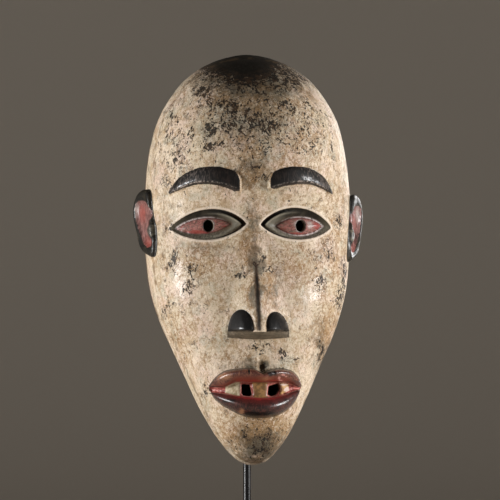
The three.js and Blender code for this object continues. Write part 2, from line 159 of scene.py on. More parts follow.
# An ear's outline in its own plane: (share of its width from the front root, share of its half height)
EAR_OUTLINE = [
    (0.45, 1), (0.79, 0.85), (0.98, 0.44), (0.95, 0.09), (0.8, -0.35), (0.6, -0.78), (0.3, -0.97), (0, -1),
    (-0.08, -0.6), (-0.03, -0.1), (0.08, 0.25), (0.2, 0.88),
]
# Its hollow, which narrows and bends forward round the small flap in front of it
EAR_HOLLOW = [
    (0.42, 0.66), (0.74, 0.64), (0.86, 0.42), (0.84, 0.14), (0.76, -0.1), (0.66, -0.3), (0.54, -0.48),
    (0.42, -0.64), (0.22, -0.75), (0.02, -0.68), (0.03, -0.5), (0.21, -0.38), (0.28, -0.18), (0.2, 0.02),
    (0.07, 0.12), (0.08, 0.36), (0.24, 0.57),
]
EAR_FLAP = [(-0.1, -0.06), (0.1, -0.04), (0.26, -0.18), (0.2, -0.36), (0.02, -0.48), (-0.12, -0.3)]

# Stand
BASE_SIDE = 130.0
BASE_HEIGHT = 12.0
BASE_CORNER = 3.0
BASE_BEVEL = 1.0
ROD_RADIUS = 3.0
ROD_ACROSS = 3.7
ROD_BEHIND_RIM = 3.4
SOCKET_DEPTH = 8.0
FIT_GAP = 0.4
ARM_WIDTH = 8.0
STRAP_THICKNESS = 3.0
# Flat crosspieces of the cradle
STRAPS = [dict(height=184, depth=12, tall=24, half=66), dict(height=56, depth=22, tall=20, half=27.5)]
# The height where the rod starts to bend forward, and how far the bend's curve is drawn up from there and
# down from the tip
HOOK_BEND_HEIGHT = 235.0
HOOK_PULLS = (27, 34)
HOOK_TIP = dict(depth=36, height=300, radius=4.5)
STRAP_EASE = 0.6
ARM_EASE = 0.5
# A weld's bead is this wide round the arm, with round edges
WELD_BEAD = 2.4
WELD_EASE = 1.1
SOCKET_LEAD_IN = 0.5
# Edges that turn by less than this are shaded smooth
SMOOTH_UNDER_DEGREES = 32

VOXEL = 0.75
MASK_TRIANGLES = 192000
SIDES = (-1, 1)
# Distances outside an outline are measured no further than this
FAR = 30.0
# Noise repeats after this many cells, and starts so far off that no place of the mask is negative in it
NOISE_CELLS = 64
NOISE_START = 1000.0
# Wood this near the outer surface counts as the front, and deeper wood as the hollow
FRONT_SHELL = 5.5
# Marks of hand tools, each with its height or depth and the distance between its features
TOOL_MARKS = dict(
    swell=(0.42, 26), ripple=(0.14, 9), knife=(0.22, (9, 21)), fine=(0.075, 2.6),
    gouge=(1.1, (9, 24)), chips=(0.3, 5), rough_rim=(0.25, 4),
)


def clamp01(value):
    return np.clip(value, 0.0, 1.0)


def mix(a, b, share):
    return a + (b - a) * share


def smoothstep(low, high, value):
    share = clamp01((value - low) / (high - low))
    return share * share * (3 - 2 * share)


def bell(value, middle, width):
    return np.exp(-((value - middle) / width) ** 2)


def spline(points, steps=16):
    """Points of a smooth curve through the given points."""
    points = np.array(points, dtype=float)
    before = np.vstack([2 * points[0] - points[1], points[:-1]])
    after = np.vstack([points[1:], 2 * points[-1] - points[-2]])
    slope = (after - before) / 2
    out = []
    for start, end, leave, arrive in zip(points[:-1], points[1:], slope[:-1], slope[1:]):
        for share in np.linspace(0, 1, steps, endpoint=False):
            s2, s3 = share ** 2, share ** 3
            out.append(
                start * (2 * s3 - 3 * s2 + 1) + leave * (s3 - 2 * s2 + share)
                + end * (3 * s2 - 2 * s3) + arrive * (s3 - s2)
            )
    out.append(points[-1])
    return np.array(out)


def closed_spline(points, steps=16):
    """The same for a closed ring of points. Its last point is its first."""
    ring = np.array(points, dtype=float)
    curve = spline(np.vstack([ring[-2:], ring, ring[:3]]), steps)
    return curve[2 * steps:(2 + len(ring)) * steps + 1]


def point_at(curve, turn):
    """The point of a closed curve at a turn from 0 to 1."""
    place = turn * (len(curve) - 1)
    index = np.arange(len(curve))
    return np.interp(place, index, curve[:, 0]), np.interp(place, index, curve[:, 1])


def read_at(stations):
    """The value at a height, from (value, height) stations joined by a smooth curve."""
    curve = spline(stations)
    return lambda height: np.interp(height, curve[:, 1], curve[:, 0])


half_width_at = read_at(OUTLINE)
profile_at = read_at(PROFILE)
shoulder_at = read_at(SHOULDER)
brow_middle = read_at([(height, share) for share, height, _ in BROW_LINE])
brow_thickness = read_at([(half, share) for share, _, half in BROW_LINE])
upper_lip_top = read_at(UPPER_LIP_TOP)
upper_lip_bottom = read_at(UPPER_LIP_BOTTOM)
lower_lip_top = read_at(LOWER_LIP_TOP)
lower_lip_bottom = read_at(LOWER_LIP_BOTTOM)
face_curve = closed_spline(OUTLINE + [(-x, z) for x, z in OUTLINE[-2:0:-1]])
ear_curve = closed_spline(EAR_OUTLINE)
ear_hollow_curve = closed_spline(EAR_HOLLOW, 5)
ear_flap_curve = closed_spline(EAR_FLAP, 6)


def lattice_noise(points, size, seed):
    """Smooth noise from -1 to 1 over space, with features about size apart."""
    values = np.random.default_rng(seed).uniform(-1, 1, (NOISE_CELLS, NOISE_CELLS, NOISE_CELLS))
    place = points / size + NOISE_START
    cell = np.floor(place).astype(int)
    share = place - cell
    share = share * share * (3 - 2 * share)
    total = np.zeros(len(points))
    for corner in np.ndindex(2, 2, 2):
        weight = np.prod(np.where(np.array(corner), share, 1 - share), axis=1)
        index = (cell + np.array(corner)) % NOISE_CELLS
        total += weight * values[index[:, 0], index[:, 1], index[:, 2]]
    return total


def scallops(across, along, size, seed):
    """The marks of a rounded chisel over a surface: 0 at the middle of each cut, up to 1 on the ridges."""
    place = np.stack([across / size[0], along / size[1]], axis=1) + NOISE_START / 2
    cell = np.floor(place).astype(int)
    jitter = np.random.default_rng(seed).uniform(0.15, 0.85, (NOISE_CELLS, NOISE_CELLS, 2))
    nearest = np.full(len(place), np.inf)
    for step in np.ndindex(3, 3):
        index = cell + np.array(step) - 1
        centre = index + jitter[index[:, 0] % NOISE_CELLS, index[:, 1] % NOISE_CELLS]
        nearest = np.minimum(nearest, ((place - centre) ** 2).sum(axis=1))
    return clamp01(nearest)


def distance_inside(x, z, outline):
    """Distance from points to a closed outline, positive inside it and no less than -FAR outside."""
    outline = np.array(outline, dtype=float)
    out = np.full(len(x), -FAR)
    low, high = outline.min(axis=0) - FAR, outline.max(axis=0) + FAR
    near = np.flatnonzero((x > low[0]) & (x < high[0]) & (z > low[1]) & (z < high[1]))
    px, pz = x[near][:, None], z[near][:, None]
    ax, az = outline[:, 0], outline[:, 1]
    dx, dz = np.roll(ax, -1) - ax, np.roll(az, -1) - az
    share = clamp01(((px - ax) * dx + (pz - az) * dz) / np.maximum(dx * dx + dz * dz, 1e-9))
    distance = np.sqrt((px - ax - share * dx) ** 2 + (pz - az - share * dz) ** 2).min(axis=1)
    crossing = (az > pz) != (az + dz > pz)
    where = ax + (pz - az) * dx / np.where(np.abs(dz) < 1e-9, 1e-9, dz)
    inside = (crossing & (px < where)).sum(axis=1) % 2 == 1
    out[near] = np.where(inside, distance, -np.minimum(distance, FAR))
    return out


def deepest(x, z, outlines):
    return np.max([distance_inside(x, z, outline) for outline in outlines], axis=0)


def almond(eye, steps=24):
    """Outline of an eye or eyeball: two arcs that meet at the inner and outer corners."""
    points = []
    for i in range(steps * 2):
        along = math.cos(i / steps * math.pi)
        reach = eye["top"] if i <= steps else -eye["bottom"]
        bulge = max(0.0, 1 - along * along) ** 0.8 * reach
        x = eye["x"] + eye["side"] * along * eye["half"]
        points.append((x, eye["height"] - eye["lean"] * along + bulge))
    return points


def ellipse(x, height, half_width, half_height, steps=32):
    angles = [i / steps * 2 * math.pi for i in range(steps)]
    return [(x + half_width * math.cos(a), height + half_height * math.sin(a)) for a in angles]


def brow_section(share, side):
    """Height of a brow's middle line and half its thickness."""
    droop = np.where(side < 0, BROW_DROOP[-1], BROW_DROOP[1]) * np.maximum(0, 1 - share * 2.2) ** 1.5
    return brow_middle(share) - droop, brow_thickness(share) + 0.8 * droop


def brow_outline(side, steps=24):
    shares = np.linspace(0, 1, steps)
    x = BROWS_X + side * mix(BROW["inner"], BROW["outer"], shares)
    middle, half = brow_section(shares, side)
    return list(zip(x, middle + half)) + list(zip(x, middle - half))[::-1]


def nostril_outline(nostril, below=0, steps=24):
    """An arch on a level sill, with its peak off its middle. Its sides can be drawn on below the sill."""
    points = []
    for i in range(steps + 1):
        angle = i / steps * math.pi
        up = max(0.0, math.sin(angle)) ** 0.85
        lean = (nostril["peak"] - nostril["x"]) * up
        x = nostril["x"] + nostril["half"] * math.cos(angle) + lean
        points.append((x, NOSTRIL_SILL + nostril["height"] * up))
    if below:
        points.append((nostril["x"] - nostril["half"], NOSTRIL_SILL - below))
        points.append((nostril["x"] + nostril["half"], NOSTRIL_SILL - below))
    return points


def nose_floor(x):
    """Height of the lower edge of the nose's underside, lowest in the middle."""
    reach = clamp01(np.abs(x - NOSE["tip_x"]) / NOSE["floor_half"])
    return mix(NOSE["base"], NOSTRIL_SILL - NOSE["floor_drop"], reach ** 1.7)


def nose_base_outline(steps=20):
    left = NOSTRILS[0]["x"] - NOSTRILS[0]["half"]
    right = NOSTRILS[1]["x"] + NOSTRILS[1]["half"]
    lower = [(x, nose_floor(np.array(x)).item()) for x in np.linspace(right, left, steps)]
    return [(left, NOSTRIL_SILL), (right, NOSTRIL_SILL)] + lower


def bow(share):
    return np.maximum(np.sin(np.asarray(share) * math.pi), 0)


def lip_x(share, half):
    return LIPS["x"] + half * (2 * np.asarray(share) - 1)


def lip_share(x, half):
    return clamp01((x - LIPS["x"]) / (2 * half) + 0.5)


def band_between(top, bottom, top_half, bottom_half, steps=48):
    """Closed outline between two edges that run from the left corner of the mouth to the right."""
    shares = (1 - np.cos(np.linspace(0, math.pi, steps))) / 2
    upper = list(zip(lip_x(shares, top_half), top(shares)))
    lower = list(zip(lip_x(shares, bottom_half), bottom(shares)))
    return upper + lower[::-1]


OUTLINES = dict(
    brow=[brow_outline(side) for side in SIDES],
    lid=[almond(eye) for eye in EYES],
    eyeball=[almond(ball) for ball in EYEBALLS],
    nostril=[nostril_outline(nostril) for nostril in NOSTRILS],
    nose_base=[nose_base_outline()],
    upper_lip=[band_between(upper_lip_top, upper_lip_bottom, LIPS["half"], LIPS["half"])],
    lower_lip=[band_between(lower_lip_top, lower_lip_bottom, LIPS["lower_half"], LIPS["lower_half"])],
    mouth=[band_between(upper_lip_bottom, lower_lip_top, LIPS["half"], LIPS["lower_half"])],
    teeth=TEETH,
    pupil=[ellipse(pupil["x"], pupil["height"], *PUPIL_SIZE) for pupil in PUPILS],
    mouth_hole=MOUTH_HOLES,
)
NOSTRIL_DOMES = [nostril_outline(nostril, DOME_BELOW_SILL) for nostril in NOSTRILS]


def plain_depth(x, z):
    """How far the plain face stands ahead of the rim at a place seen from the front."""
    across = clamp01(np.abs(x) / np.maximum(0.01, half_width_at(z)))
    crown = np.sqrt(1 - across ** SECTION_POWER)
    depth = mix(shoulder_at(z), profile_at(z), crown)
    for sx, sz, wide, tall, rise in SWELLINGS:
        depth = depth + rise * crown * bell(x, sx, wide) * bell(z, sz, tall)
    return depth


def nose_rise(x, z):
    """The nose: a ridge with a soft foot that grows from between the eyes down to its tip."""
    share = clamp01((NOSE["root"] - z) / (NOSE["root"] - NOSE["tip"]))
    ridge_x = mix(NOSE["root_x"], NOSE["tip_x"], share)
    half = mix(NOSE["root_half"], NOSE["half"], share ** 1.2)
    side = np.abs(x - ridge_x) / half
    falling = 0.97 - np.sqrt(side ** 2 + NOSE["crest"]) * 1.06
    section = (falling + np.sqrt(falling ** 2 + NOSE["foot"])) / 1.87
    rise = NOSE["rise"] * share ** 1.15 * section * smoothstep(1.9, 0.9, side)
    floor = nose_floor(x)
    under = clamp01((z - floor) / (NOSTRIL_SILL - floor))
    return np.where(z < NOSTRIL_SILL, rise * under ** 0.8, rise)


def nostrils_rise(x, z):
    """Domed nostrils, fullest just over the sill, each in a fine groove."""
    inside = deepest(x, z, OUTLINES["nostril"])
    from_arch = deepest(x, z, NOSTRIL_DOMES)
    above = clamp01((z - NOSTRIL_SILL) / 17)
    on_sill = smoothstep(-0.1, 1.7, z - NOSTRIL_SILL)
    dome = NOSTRIL_RISE * clamp01(from_arch / 7.5) ** 0.55 * (1 - 0.62 * above ** 1.4) * on_sill
    base = distance_inside(x, z, OUTLINES["nose_base"][0])
    crease = 0.5 * bell(z, NOSTRIL_SILL, 0.6) * (np.abs(x) < 25)
    rim = 0.5 * bell(inside, -1.5, 1.2) * (z > NOSTRIL_SILL)
    groove = 1.1 * bell(inside, 0, 0.8) + crease + 0.5 * smoothstep(-0.2, 0.8, base)
    return np.where(inside > 0, dome, 0) + rim - groove


def roll_rise(across, crest, far_end):
    """Section of a carved roll, from its steep edge at 0 over its crest to far_end of its rise at 1."""
    to_edge = clamp01((crest - across) / crest)
    away = clamp01((across - crest) / (1 - crest))
    return np.where(across < crest, (1 - to_edge ** 2.2) ** 0.6, 1 - (1 - far_end) * away ** 1.5)


def brow_place(x, z, side):
    """Share of the way out along a brow, and how far up it, from -1 at its lower edge to 1 at its upper."""
    share = clamp01((side * (x - BROWS_X) - BROW["inner"]) / (BROW["outer"] - BROW["inner"]))
    middle, half = brow_section(share, side)
    return share, (z - middle) / np.maximum(0.6, half)


def brows_rise(x, z):
    """Each brow slopes up from a cut along its top to a crest just above its lower edge."""
    rise = np.zeros(len(x))
    for side, outline in zip(SIDES, OUTLINES["brow"]):
        _, up = brow_place(x, z, side)
        inside = distance_inside(x, z, outline)
        section = roll_rise(clamp01((up + 1) / 2), 0.2, 0.16)
        ends = 0.75 + 0.25 * smoothstep(0, 6, inside + 3)
        rise += BROW["rise"] * ends * smoothstep(-0.3, 0.8, inside) * section
        rise -= BROW["cut"] * bell(inside, -0.2, 0.8) * (0.35 + 0.65 * smoothstep(-0.2, 0.6, up))
    return rise


def eye_place(x, z, eye, outline, ball):
    """Distances inside an eye and its eyeball, and how near the nose it is, from 0 to 1."""
    inside = distance_inside(x, z, outline)
    on_ball = distance_inside(x, z, ball)
    nasal = smoothstep(0.35, -0.85, eye["side"] * (x - eye["x"]) / eye["half"])
    return inside, on_ball, nasal


def eyes_rise(x, z):
    """Each eye is cut in behind a thin lip: lids slope to the raised eyeball, with a deep inner corner."""
    rise = np.zeros(len(x))
    for eye, outline, ball in zip(EYES, OUTLINES["lid"], OUTLINES["eyeball"]):
        inside, on_ball, nasal = eye_place(x, z, eye, outline, ball)
        channel = clamp01(inside / np.maximum(0.3, inside - np.minimum(on_ball, 0)))
        step = mix(0.7, 1.3, nasal)
        sink = step * smoothstep(-0.1, 0.7, inside) + (EYE_DEPTH - step) * channel ** 1.2
        crevice = 4.2 * nasal * bell(inside, 0.9, 1.1) + 0.8 * nasal * bell(channel, 0.85, 0.2)
        ball_step = EYEBALL_STEP * smoothstep(-0.1, 0.5, on_ball)
        ball_rise = ball_step + EYEBALL_RISE * clamp01(on_ball / 6.5) ** 0.8
        lip = 0.55 * bell(inside, -1.0, 1.2)
        rise += lip - (sink + crevice) * (inside > -0.4) + ball_rise * (on_ball > -0.4)
    return rise


def lips_rise(x, z):
    """Two rolls that stand far out from the face, with a slope in to the teeth."""
    share, low_share = lip_share(x, LIPS["half"]), lip_share(x, LIPS["lower_half"])
    upper = distance_inside(x, z, OUTLINES["upper_lip"][0])
    lower = distance_inside(x, z, OUTLINES["lower_lip"][0])
    top, slit_high = upper_lip_top(share), upper_lip_bottom(share)
    low, slit_low = lower_lip_bottom(low_share), lower_lip_top(low_share)
    upper_across = clamp01((top - z) / (top - slit_high + 0.01))
    lower_across = clamp01((z - low) / (slit_low - low + 0.01))
    stand = LIPS["rise"] * np.maximum(bow(share), 0.03) ** 0.36
    low_stand = LIPS["rise"] * np.maximum(bow(low_share), 0.03) ** 0.36
    wrinkles = np.sin(x * 2.9 + 1.5 * np.sin(x * 0.7)) * np.sin(clamp01(upper / 4) * math.pi) * LIP_WRINKLE
    rise = (stand * roll_rise(upper_across, 0.3, 0.4) + wrinkles) * smoothstep(-0.3, 0.8, upper)
    rise = rise + low_stand * roll_rise(lower_across, 0.5, 0.38) * smoothstep(-0.3, 0.8, lower)
    off_corners = np.abs(z - MOUTH_CORNERS["height"]) > MOUTH_CORNERS["half"]
    rise = rise - LIP_GROOVE * bell(np.maximum(upper, lower), -0.5, 0.8) * off_corners
    gap = distance_inside(x, z, OUTLINES["mouth"][0])
    tooth = deepest(x, z, OUTLINES["teeth"])
    crack = spread(x, z, [(*place, LIP_CRACK_DEPTH) for place in LIP_CRACKS])
    sink = MOUTH_SINK - TOOTH_STAND * smoothstep(-0.3, 1.0, tooth)
    return rise - crack - sink * smoothstep(-0.2, 0.6, gap)


def spread(x, z, areas):
    """Strength at each place of a list of soft areas: x, height, half width, half height, strength."""
    total = np.zeros(len(x))
    for sx, sz, wide, tall, strength in areas:
        total = np.maximum(total, strength * bell(x, sx, wide) * bell(z, sz, tall))
    return total


def above_lip_rise(x, z):
    """The small tongue of wood over the upper lip, and the hollow beside it."""
    middle = -1.7 + 0.9 * np.sin((z - 74) * 0.3)
    tongue = 1.9 * bell(x, middle, 1.7) * smoothstep(72.5, 75, z) * smoothstep(86.5, 82, z)
    hollow = 2.6 * bell(x, 2.2, 2.4) * bell(z, 77.0, 3.6)
    under_nose = 1.4 * bell(x, -6, 26) * bell(z, 90, 6)
    return tongue - hollow - under_nose


def inside_edge(x, z):
    """How far a place seen from the front lies inside the mask's outline, along the line to its middle."""
    turn = np.arctan2(face_curve[:, 0], face_curve[:, 1] - FACE_CENTRE_HEIGHT)
    reach = np.hypot(face_curve[:, 0], face_curve[:, 1] - FACE_CENTRE_HEIGHT)
    order = np.argsort(turn)
    own_turn = np.arctan2(x, z - FACE_CENTRE_HEIGHT)
    edge = np.interp(own_turn, turn[order], reach[order], period=2 * math.pi)
    return edge - np.hypot(x, z - FACE_CENTRE_HEIGHT), edge


def carved_depth(x, z):
    """Depth of the finished front surface, with every carved feature."""
    from_edge, _ = inside_edge(x, z)
    edge_cut = 0.5 * bell(from_edge, 2.6, 1.0) * smoothstep(215, 180, z)
    features = nose_rise(x, z) + nostrils_rise(x, z) + brows_rise(x, z) + eyes_rise(x, z)
    return plain_depth(x, z) + features + lips_rise(x, z) + above_lip_rise(x, z) - edge_cut


def pulled_sphere(around, rings, place):
    """A sphere pulled into another closed form. place gets each vertex's turn and pole, both 0 to 1, as
    arrays: the turn runs round the depth axis from straight down, the pole from the front to the back."""
    form = bmesh.new()
    bmesh.ops.create_uvsphere(form, u_segments=around, v_segments=rings, radius=1.0)
    points = np.array([vertex.co[:] for vertex in form.verts])
    turn = (np.arctan2(points[:, 0], points[:, 1]) / (2 * math.pi)) % 1.0
    pole = np.arccos(np.clip(points[:, 2], -1, 1)) / math.pi
    x, depth, height = place(turn, pole)
    for vertex, co in zip(form.verts, np.stack([x, -depth, height], axis=1)):
        vertex.co = co
    bmesh.ops.recalc_face_normals(form, faces=form.faces)
    return form


def head_form(around, rings, inset, sink, rim_depth, surface):
    """Rings grow from the middle of the face to the outline, then run back as the side wall to the rim."""
    dome_share = 0.84
    wall_share = 1 - 1 / rings

    def place(turn, pole):
        edge_x, edge_z = point_at(face_curve, turn)
        reach_x, reach_z = edge_x, edge_z - FACE_CENTRE_HEIGHT
        down = clamp01(-reach_z / FACE_CENTRE_HEIGHT)
        dome = clamp01(pole / dome_share)
        back = clamp01((pole - dome_share) / (wall_share - dome_share))
        cap = clamp01((1 - pole) / (1 - wall_share))
        grown = np.sin(dome * math.pi / 2)
        taper = 1 - (RIM_TAPER + CHIN_TAPER * down * down) * back
        length = np.hypot(reach_x, reach_z)
        inner = (length - inset) / length * grown * taper * cap
        depth = surface(reach_x * grown, FACE_CENTRE_HEIGHT + reach_z * grown) - sink
        return reach_x * inner, mix(depth, rim_depth, back), FACE_CENTRE_HEIGHT + reach_z * inner

    return pulled_sphere(around, rings, place)


def ear_axes(ear):
    """Root of an ear, the vector across its width and the direction it faces, in x and depth."""
    root = np.array([ear["side"] * ear["front"][0], ear["front"][1]])
    across = np.array([ear["side"] * ear["back"][0], ear["back"][1]]) - root
    out = np.array([ear["side"] * abs(across[1]), abs(across[0])]) / np.linalg.norm(across)
    return root, across, out


def ear_relief(ear, across, up):
    """Carving of an ear's face: a rolled rim round its hollow, and the flap in front."""
    scale = np.array([np.linalg.norm(ear_axes(ear)[1]), EAR["half"]])
    inside = distance_inside(across * scale[0], up * scale[1], ear_hollow_curve * scale)
    flap = distance_inside(across * scale[0], up * scale[1], ear_flap_curve * scale)
    fold = 0.8 * bell(across, 0.52, 0.12) * bell(up, 0.05, 0.5) * smoothstep(0, 2, inside)
    return 1.8 * smoothstep(-0.6, 2.4, flap) - 2.0 * smoothstep(-0.6, 2.4, inside) + fold


def ear_form(ear):
    root, reach, out = ear_axes(ear)

    def place(turn, pole):
        grown = np.sin(pole * math.pi)
        edge_across, edge_up = point_at(ear_curve, turn)
        across = mix(EAR["middle"], edge_across, grown)
        up = edge_up * grown
        is_front = pole < 0.5
        full = np.sqrt(np.maximum(0, 1 - grown ** 7))
        dish = np.where(is_front, EAR["dish"] * (grown ** 3 - 0.62) * (1 - grown ** 8), 0)
        lift = np.where(is_front, 0.5, -0.5) * EAR["thickness"] * full + dish
        lift = lift + np.where(is_front, ear_relief(ear, across, up) * full, 0)
        x = root[0] + reach[0] * across + out[0] * lift
        depth = root[1] + reach[1] * across + out[1] * lift
        return x, depth, ear["height"] + EAR["half"] * up

    return pulled_sphere(120, 84, place)


def prism(outline, depth_low, depth_high):
    """A straight-sided cutter along the depth axis."""
    form = bmesh.new()
    corners = [form.verts.new((x, -depth_low, z)) for x, z in outline]
    face = form.faces.new(corners)
    grown = bmesh.ops.extrude_face_region(form, geom=[face])["geom"]
    moved = [item for item in grown if isinstance(item, bmesh.types.BMVert)]
    bmesh.ops.translate(form, verts=moved, vec=(0, -(depth_high - depth_low), 0))
    bmesh.ops.recalc_face_normals(form, faces=form.faces)
    return form


def as_object(name, form):
    mesh = bpy.data.meshes.new(name)
    form.to_mesh(mesh)
    form.free()
    made = bpy.data.objects.new(name, mesh)
    bpy.context.scene.collection.objects.link(made)
    return made


def apply_modifiers(target):
    graph = bpy.context.evaluated_depsgraph_get()
    mesh = bpy.data.meshes.new_from_object(target.evaluated_get(graph))
    old = target.data
    target.modifiers.clear()
    target.data = mesh
    bpy.data.meshes.remove(old)


def boolean(target, tools, operation):
    for tool in tools:
        modifier = target.modifiers.new(operation, "BOOLEAN")
        modifier.operation = operation
        modifier.solver = "MANIFOLD"
        modifier.object = tool
    apply_modifiers(target)
    for tool in tools:
        bpy.data.objects.remove(tool, do_unlink=True)


def mesh_points(mesh):
    points = np.empty(len(mesh.vertices) * 3)
    mesh.vertices.foreach_get("co", points)
    return points.reshape(-1, 3)


def set_points(mesh, points):
    mesh.vertices.foreach_set("co", points.reshape(-1))
    mesh.update()


def mesh_normals(mesh):
    normals = np.empty(len(mesh.vertices) * 3, dtype=np.float32)
    mesh.vertex_normals.foreach_get("vector", normals)
    return normals.reshape(-1, 3).astype(float)


def neighbour_mean(mesh, values):
    """Mean of the values at each vertex's neighbours."""
    edges = np.empty(len(mesh.edges) * 2, dtype=np.int64)
    mesh.edges.foreach_get("vertices", edges)
    start, end = edges.reshape(-1, 2).T
    count = np.bincount(start, minlength=len(values)) + np.bincount(end, minlength=len(values))
    total = np.bincount(start, values[end], len(values)) + np.bincount(end, values[start], len(values))
    return total / np.maximum(count, 1)


def hollowness(mesh, points, rounds=3):
    """How much each vertex lies in a cut (positive) or on an edge (negative), in millimetres."""
    smooth = points.copy()
    for _ in range(rounds):
        smooth = np.stack([neighbour_mean(mesh, smooth[:, axis]) for axis in range(3)], axis=1)
    return ((smooth - points) * mesh_normals(mesh)).sum(axis=1)


def shell_place(x, depth, z):
    """Millimetres into the wood from the mask's outer surface: over 8 on the faces of the hollow."""
    from_edge, edge = inside_edge(x, z)
    shoulder = shoulder_at(z)
    back = clamp01((shoulder - depth) / shoulder)
    down = clamp01((FACE_CENTRE_HEIGHT - z) / FACE_CENTRE_HEIGHT)
    wall = from_edge - edge * (RIM_TAPER + CHIN_TAPER * down * down) * back
    return np.minimum(wall, plain_depth(x, z) - depth)


def build_mask():
    head = as_object("mask_carving", head_form(420, 300, 0, 0, 0, carved_depth))
    boolean(head, [as_object("ear", ear_form(ear)) for ear in EARS], "UNION")
    cutters = [as_object("hollow", head_form(160, 100, SIDE_WALL, FRONT_WALL, -PAST_RIM, plain_depth))]
    for outline in OUTLINES["pupil"] + OUTLINES["mouth_hole"]:
        cutters.append(as_object("pierced_hole", prism(outline, SIDE_WALL, THROUGH)))
    boolean(head, cutters, "DIFFERENCE")
    modifier = head.modifiers.new("even", "REMESH")
    modifier.mode = "VOXEL"
    modifier.voxel_size = VOXEL
    apply_modifiers(head)
    return head


def tool_noise(name, points, seed):
    height, size = TOOL_MARKS[name]
    return height * lattice_noise(points, size, seed)


def tool_cuts(name, across, along, seed):
    depth, size = TOOL_MARKS[name]
    return depth * scallops(across, along, size, seed)


def carve_by_hand(mesh):
    """Unevenness of knife and adze work outside, and deep chisel marks inside."""
    points = mesh_points(mesh)
    x, depth, z = points[:, 0], -points[:, 1], points[:, 2]
    shell = shell_place(x, depth, z)
    inside = smoothstep(6.5, 8.0, shell) * (depth > 1.0)
    rim = smoothstep(2.0, 0.5, depth)
    outside = (1 - inside) * (1 - rim)
    carved_names = ("brow", "lid", "nostril", "upper_lip", "lower_lip")
    carved = [outline for name in carved_names for outline in OUTLINES[name]]
    plain = smoothstep(1.0, -3.0, deepest(x, z, carved))
    swell = tool_noise("swell", points, 1) + tool_noise("ripple", points, 2) * mix(0.3, 1.0, plain)
    knife = tool_cuts("knife", x * 0.9 + z * 0.25, z, 3) * plain
    fine = tool_noise("fine", points * np.array([1, 1, 0.45]), 4) * mix(0.35, 1.0, plain)
    around = np.arctan2(x, z - FACE_CENTRE_HEIGHT) * 70
    gouge = tool_cuts("gouge", np.where(np.abs(x) < 45, x, around), z + 0.4 * depth, 5)
    chips = tool_noise("chips", points * np.array([1, 1, 0.3]), 6)
    rough_rim = tool_noise("rough_rim", points, 7)
    lift = outside * (swell + knife + fine) + inside * (gouge + chips) + rim * rough_rim
    set_points(mesh, points + mesh_normals(mesh) * lift[:, None])


def thin_mesh(target, triangles):
    modifier = target.modifiers.new("thin", "DECIMATE")
    modifier.ratio = min(1.0, triangles / (2 * len(target.data.polygons)))
    apply_modifiers(target)


# Marks on the cream paint where dark wood or soot shows through, and one of painted shade in the hollow
# beside the tongue over the upper lip, each as for spread()
DARK_MARKS = [
    (-6, 322, 34, 24, 2.2), (-22, 303, 20, 12, 0.8), (28, 303, 24, 12, 0.75), (-27, 281.5, 5, 4, 0.95),
    (-18, 276, 5, 6, 0.95), (-17, 269, 5, 5, 0.85), (-37.8, 260.5, 4, 8, 0.95), (-37.5, 248, 5, 4, 0.9),
    (-23.7, 263.6, 5, 4, 0.8), (5.3, 262, 5, 5, 0.8), (2.3, 269, 4, 5, 0.75), (21.4, 281.2, 6, 3, 0.85),
    (26.6, 277, 3, 6, 0.85), (-40, 290, 8, 8, 0.72), (39.7, 280, 3, 5, 0.7), (61.2, 246.5, 2.6, 12, 0.72),
    (-62, 271.4, 4, 8, 0.66), (-6.4, 231, 17, 4, 0.45), (2.5, 224, 6, 6, 0.5), (-2, 152, 4, 14, 0.5),
    (-63, 158.3, 5, 8, 0.8), (-49, 152, 6, 4, 0.75), (-52, 138, 5, 12, 0.5), (-13, 150, 5, 3, 0.7),
    (72.6, 148, 3, 17, 0.85), (68.1, 128.7, 5, 8, 0.85), (52, 87.4, 5, 12, 0.72), (3, 163, 4, 6, 0.6),
    (7, 151, 7, 3, 0.55), (-66.5, 122, 3, 10, 0.7), (3, 13, 9, 10, 0.6), (8, 18, 26, 16, 0.45),
    (-67, 184, 5, 6, 0.5), (0, 296, 42, 10, 0.62), (68, 189.5, 5, 7, 0.6), (50, 143, 5, 8, 0.7),
    (20.7, 88, 4, 5, 0.72), (30, 84, 6, 3, 0.5), (1, 92, 12, 5, 0.55), (-67.3, 221.5, 5, 6, 0.6),
    # (3.4, 76): painted shade in the hollow beside the tongue over the upper lip
    (-38, 57, 3, 6, 0.5), (3.4, 76, 2.2, 2.4, 1.3), (58, 165, 8, 14, 0.5), (40, 262, 22, 26, 0.46),
    (-6, 266, 44, 30, 0.56), (-60, 245, 12, 26, 0.45),
]
# Grime rubbed over the paint, with painted shade in the hollow beside the tongue over the upper lip, and
# places where it has worn or aged to a warm ochre
GRIME_AND_SHADE = [
    (-6, 268, 34, 28, 0.5), (-2, 298, 50, 16, 0.75), (-5, 232, 14, 14, 0.6), (-4, 190, 7, 22, 0.5),
    (-1.2, 148, 5, 34, 0.8), (4, 13, 24, 15, 0.85), (6, 12, 11, 10, 1.35), (-40, 168, 26, 6, 0.4),
    # (5, 77): painted shade in the hollow beside the tongue; (-4, 78) and (0, 74) make a darker band just
    # above the upper lip
    (-4, 78, 16, 5, 0.6), (5, 77, 5, 4, 1.2), (0, 74, 42, 4, 0.4), (-70, 200, 8, 60, 0.3),
    (72, 200, 8, 60, 0.3), (30, 300, 30, 20, 0.5), (-30, 215, 16, 3, 0.35), (26, 215, 16, 3, 0.35),
    (50, 94, 9, 24, 0.55), (13, 138, 7, 20, 0.5),
]
WARM_AREAS = [
    (-7, 173, 7, 26, 0.8), (-5, 134, 6, 20, 0.75), (-42, 158, 27, 12, 0.5), (36, 158, 26, 20, 0.55),
    (4, 27, 32, 20, 0.9), (-17, 82, 22, 5, 0.4), (-10, 245, 18, 18, 0.5), (-4, 286, 44, 22, 0.6),
    (-5, 226, 12, 9, 0.7), (58, 100, 14, 30, 0.7), (-58, 92, 9, 30, 0.4), (8, 140, 6, 22, 0.7),
    (62, 180, 10, 60, 0.45), (30, 245, 30, 30, 0.4),
]
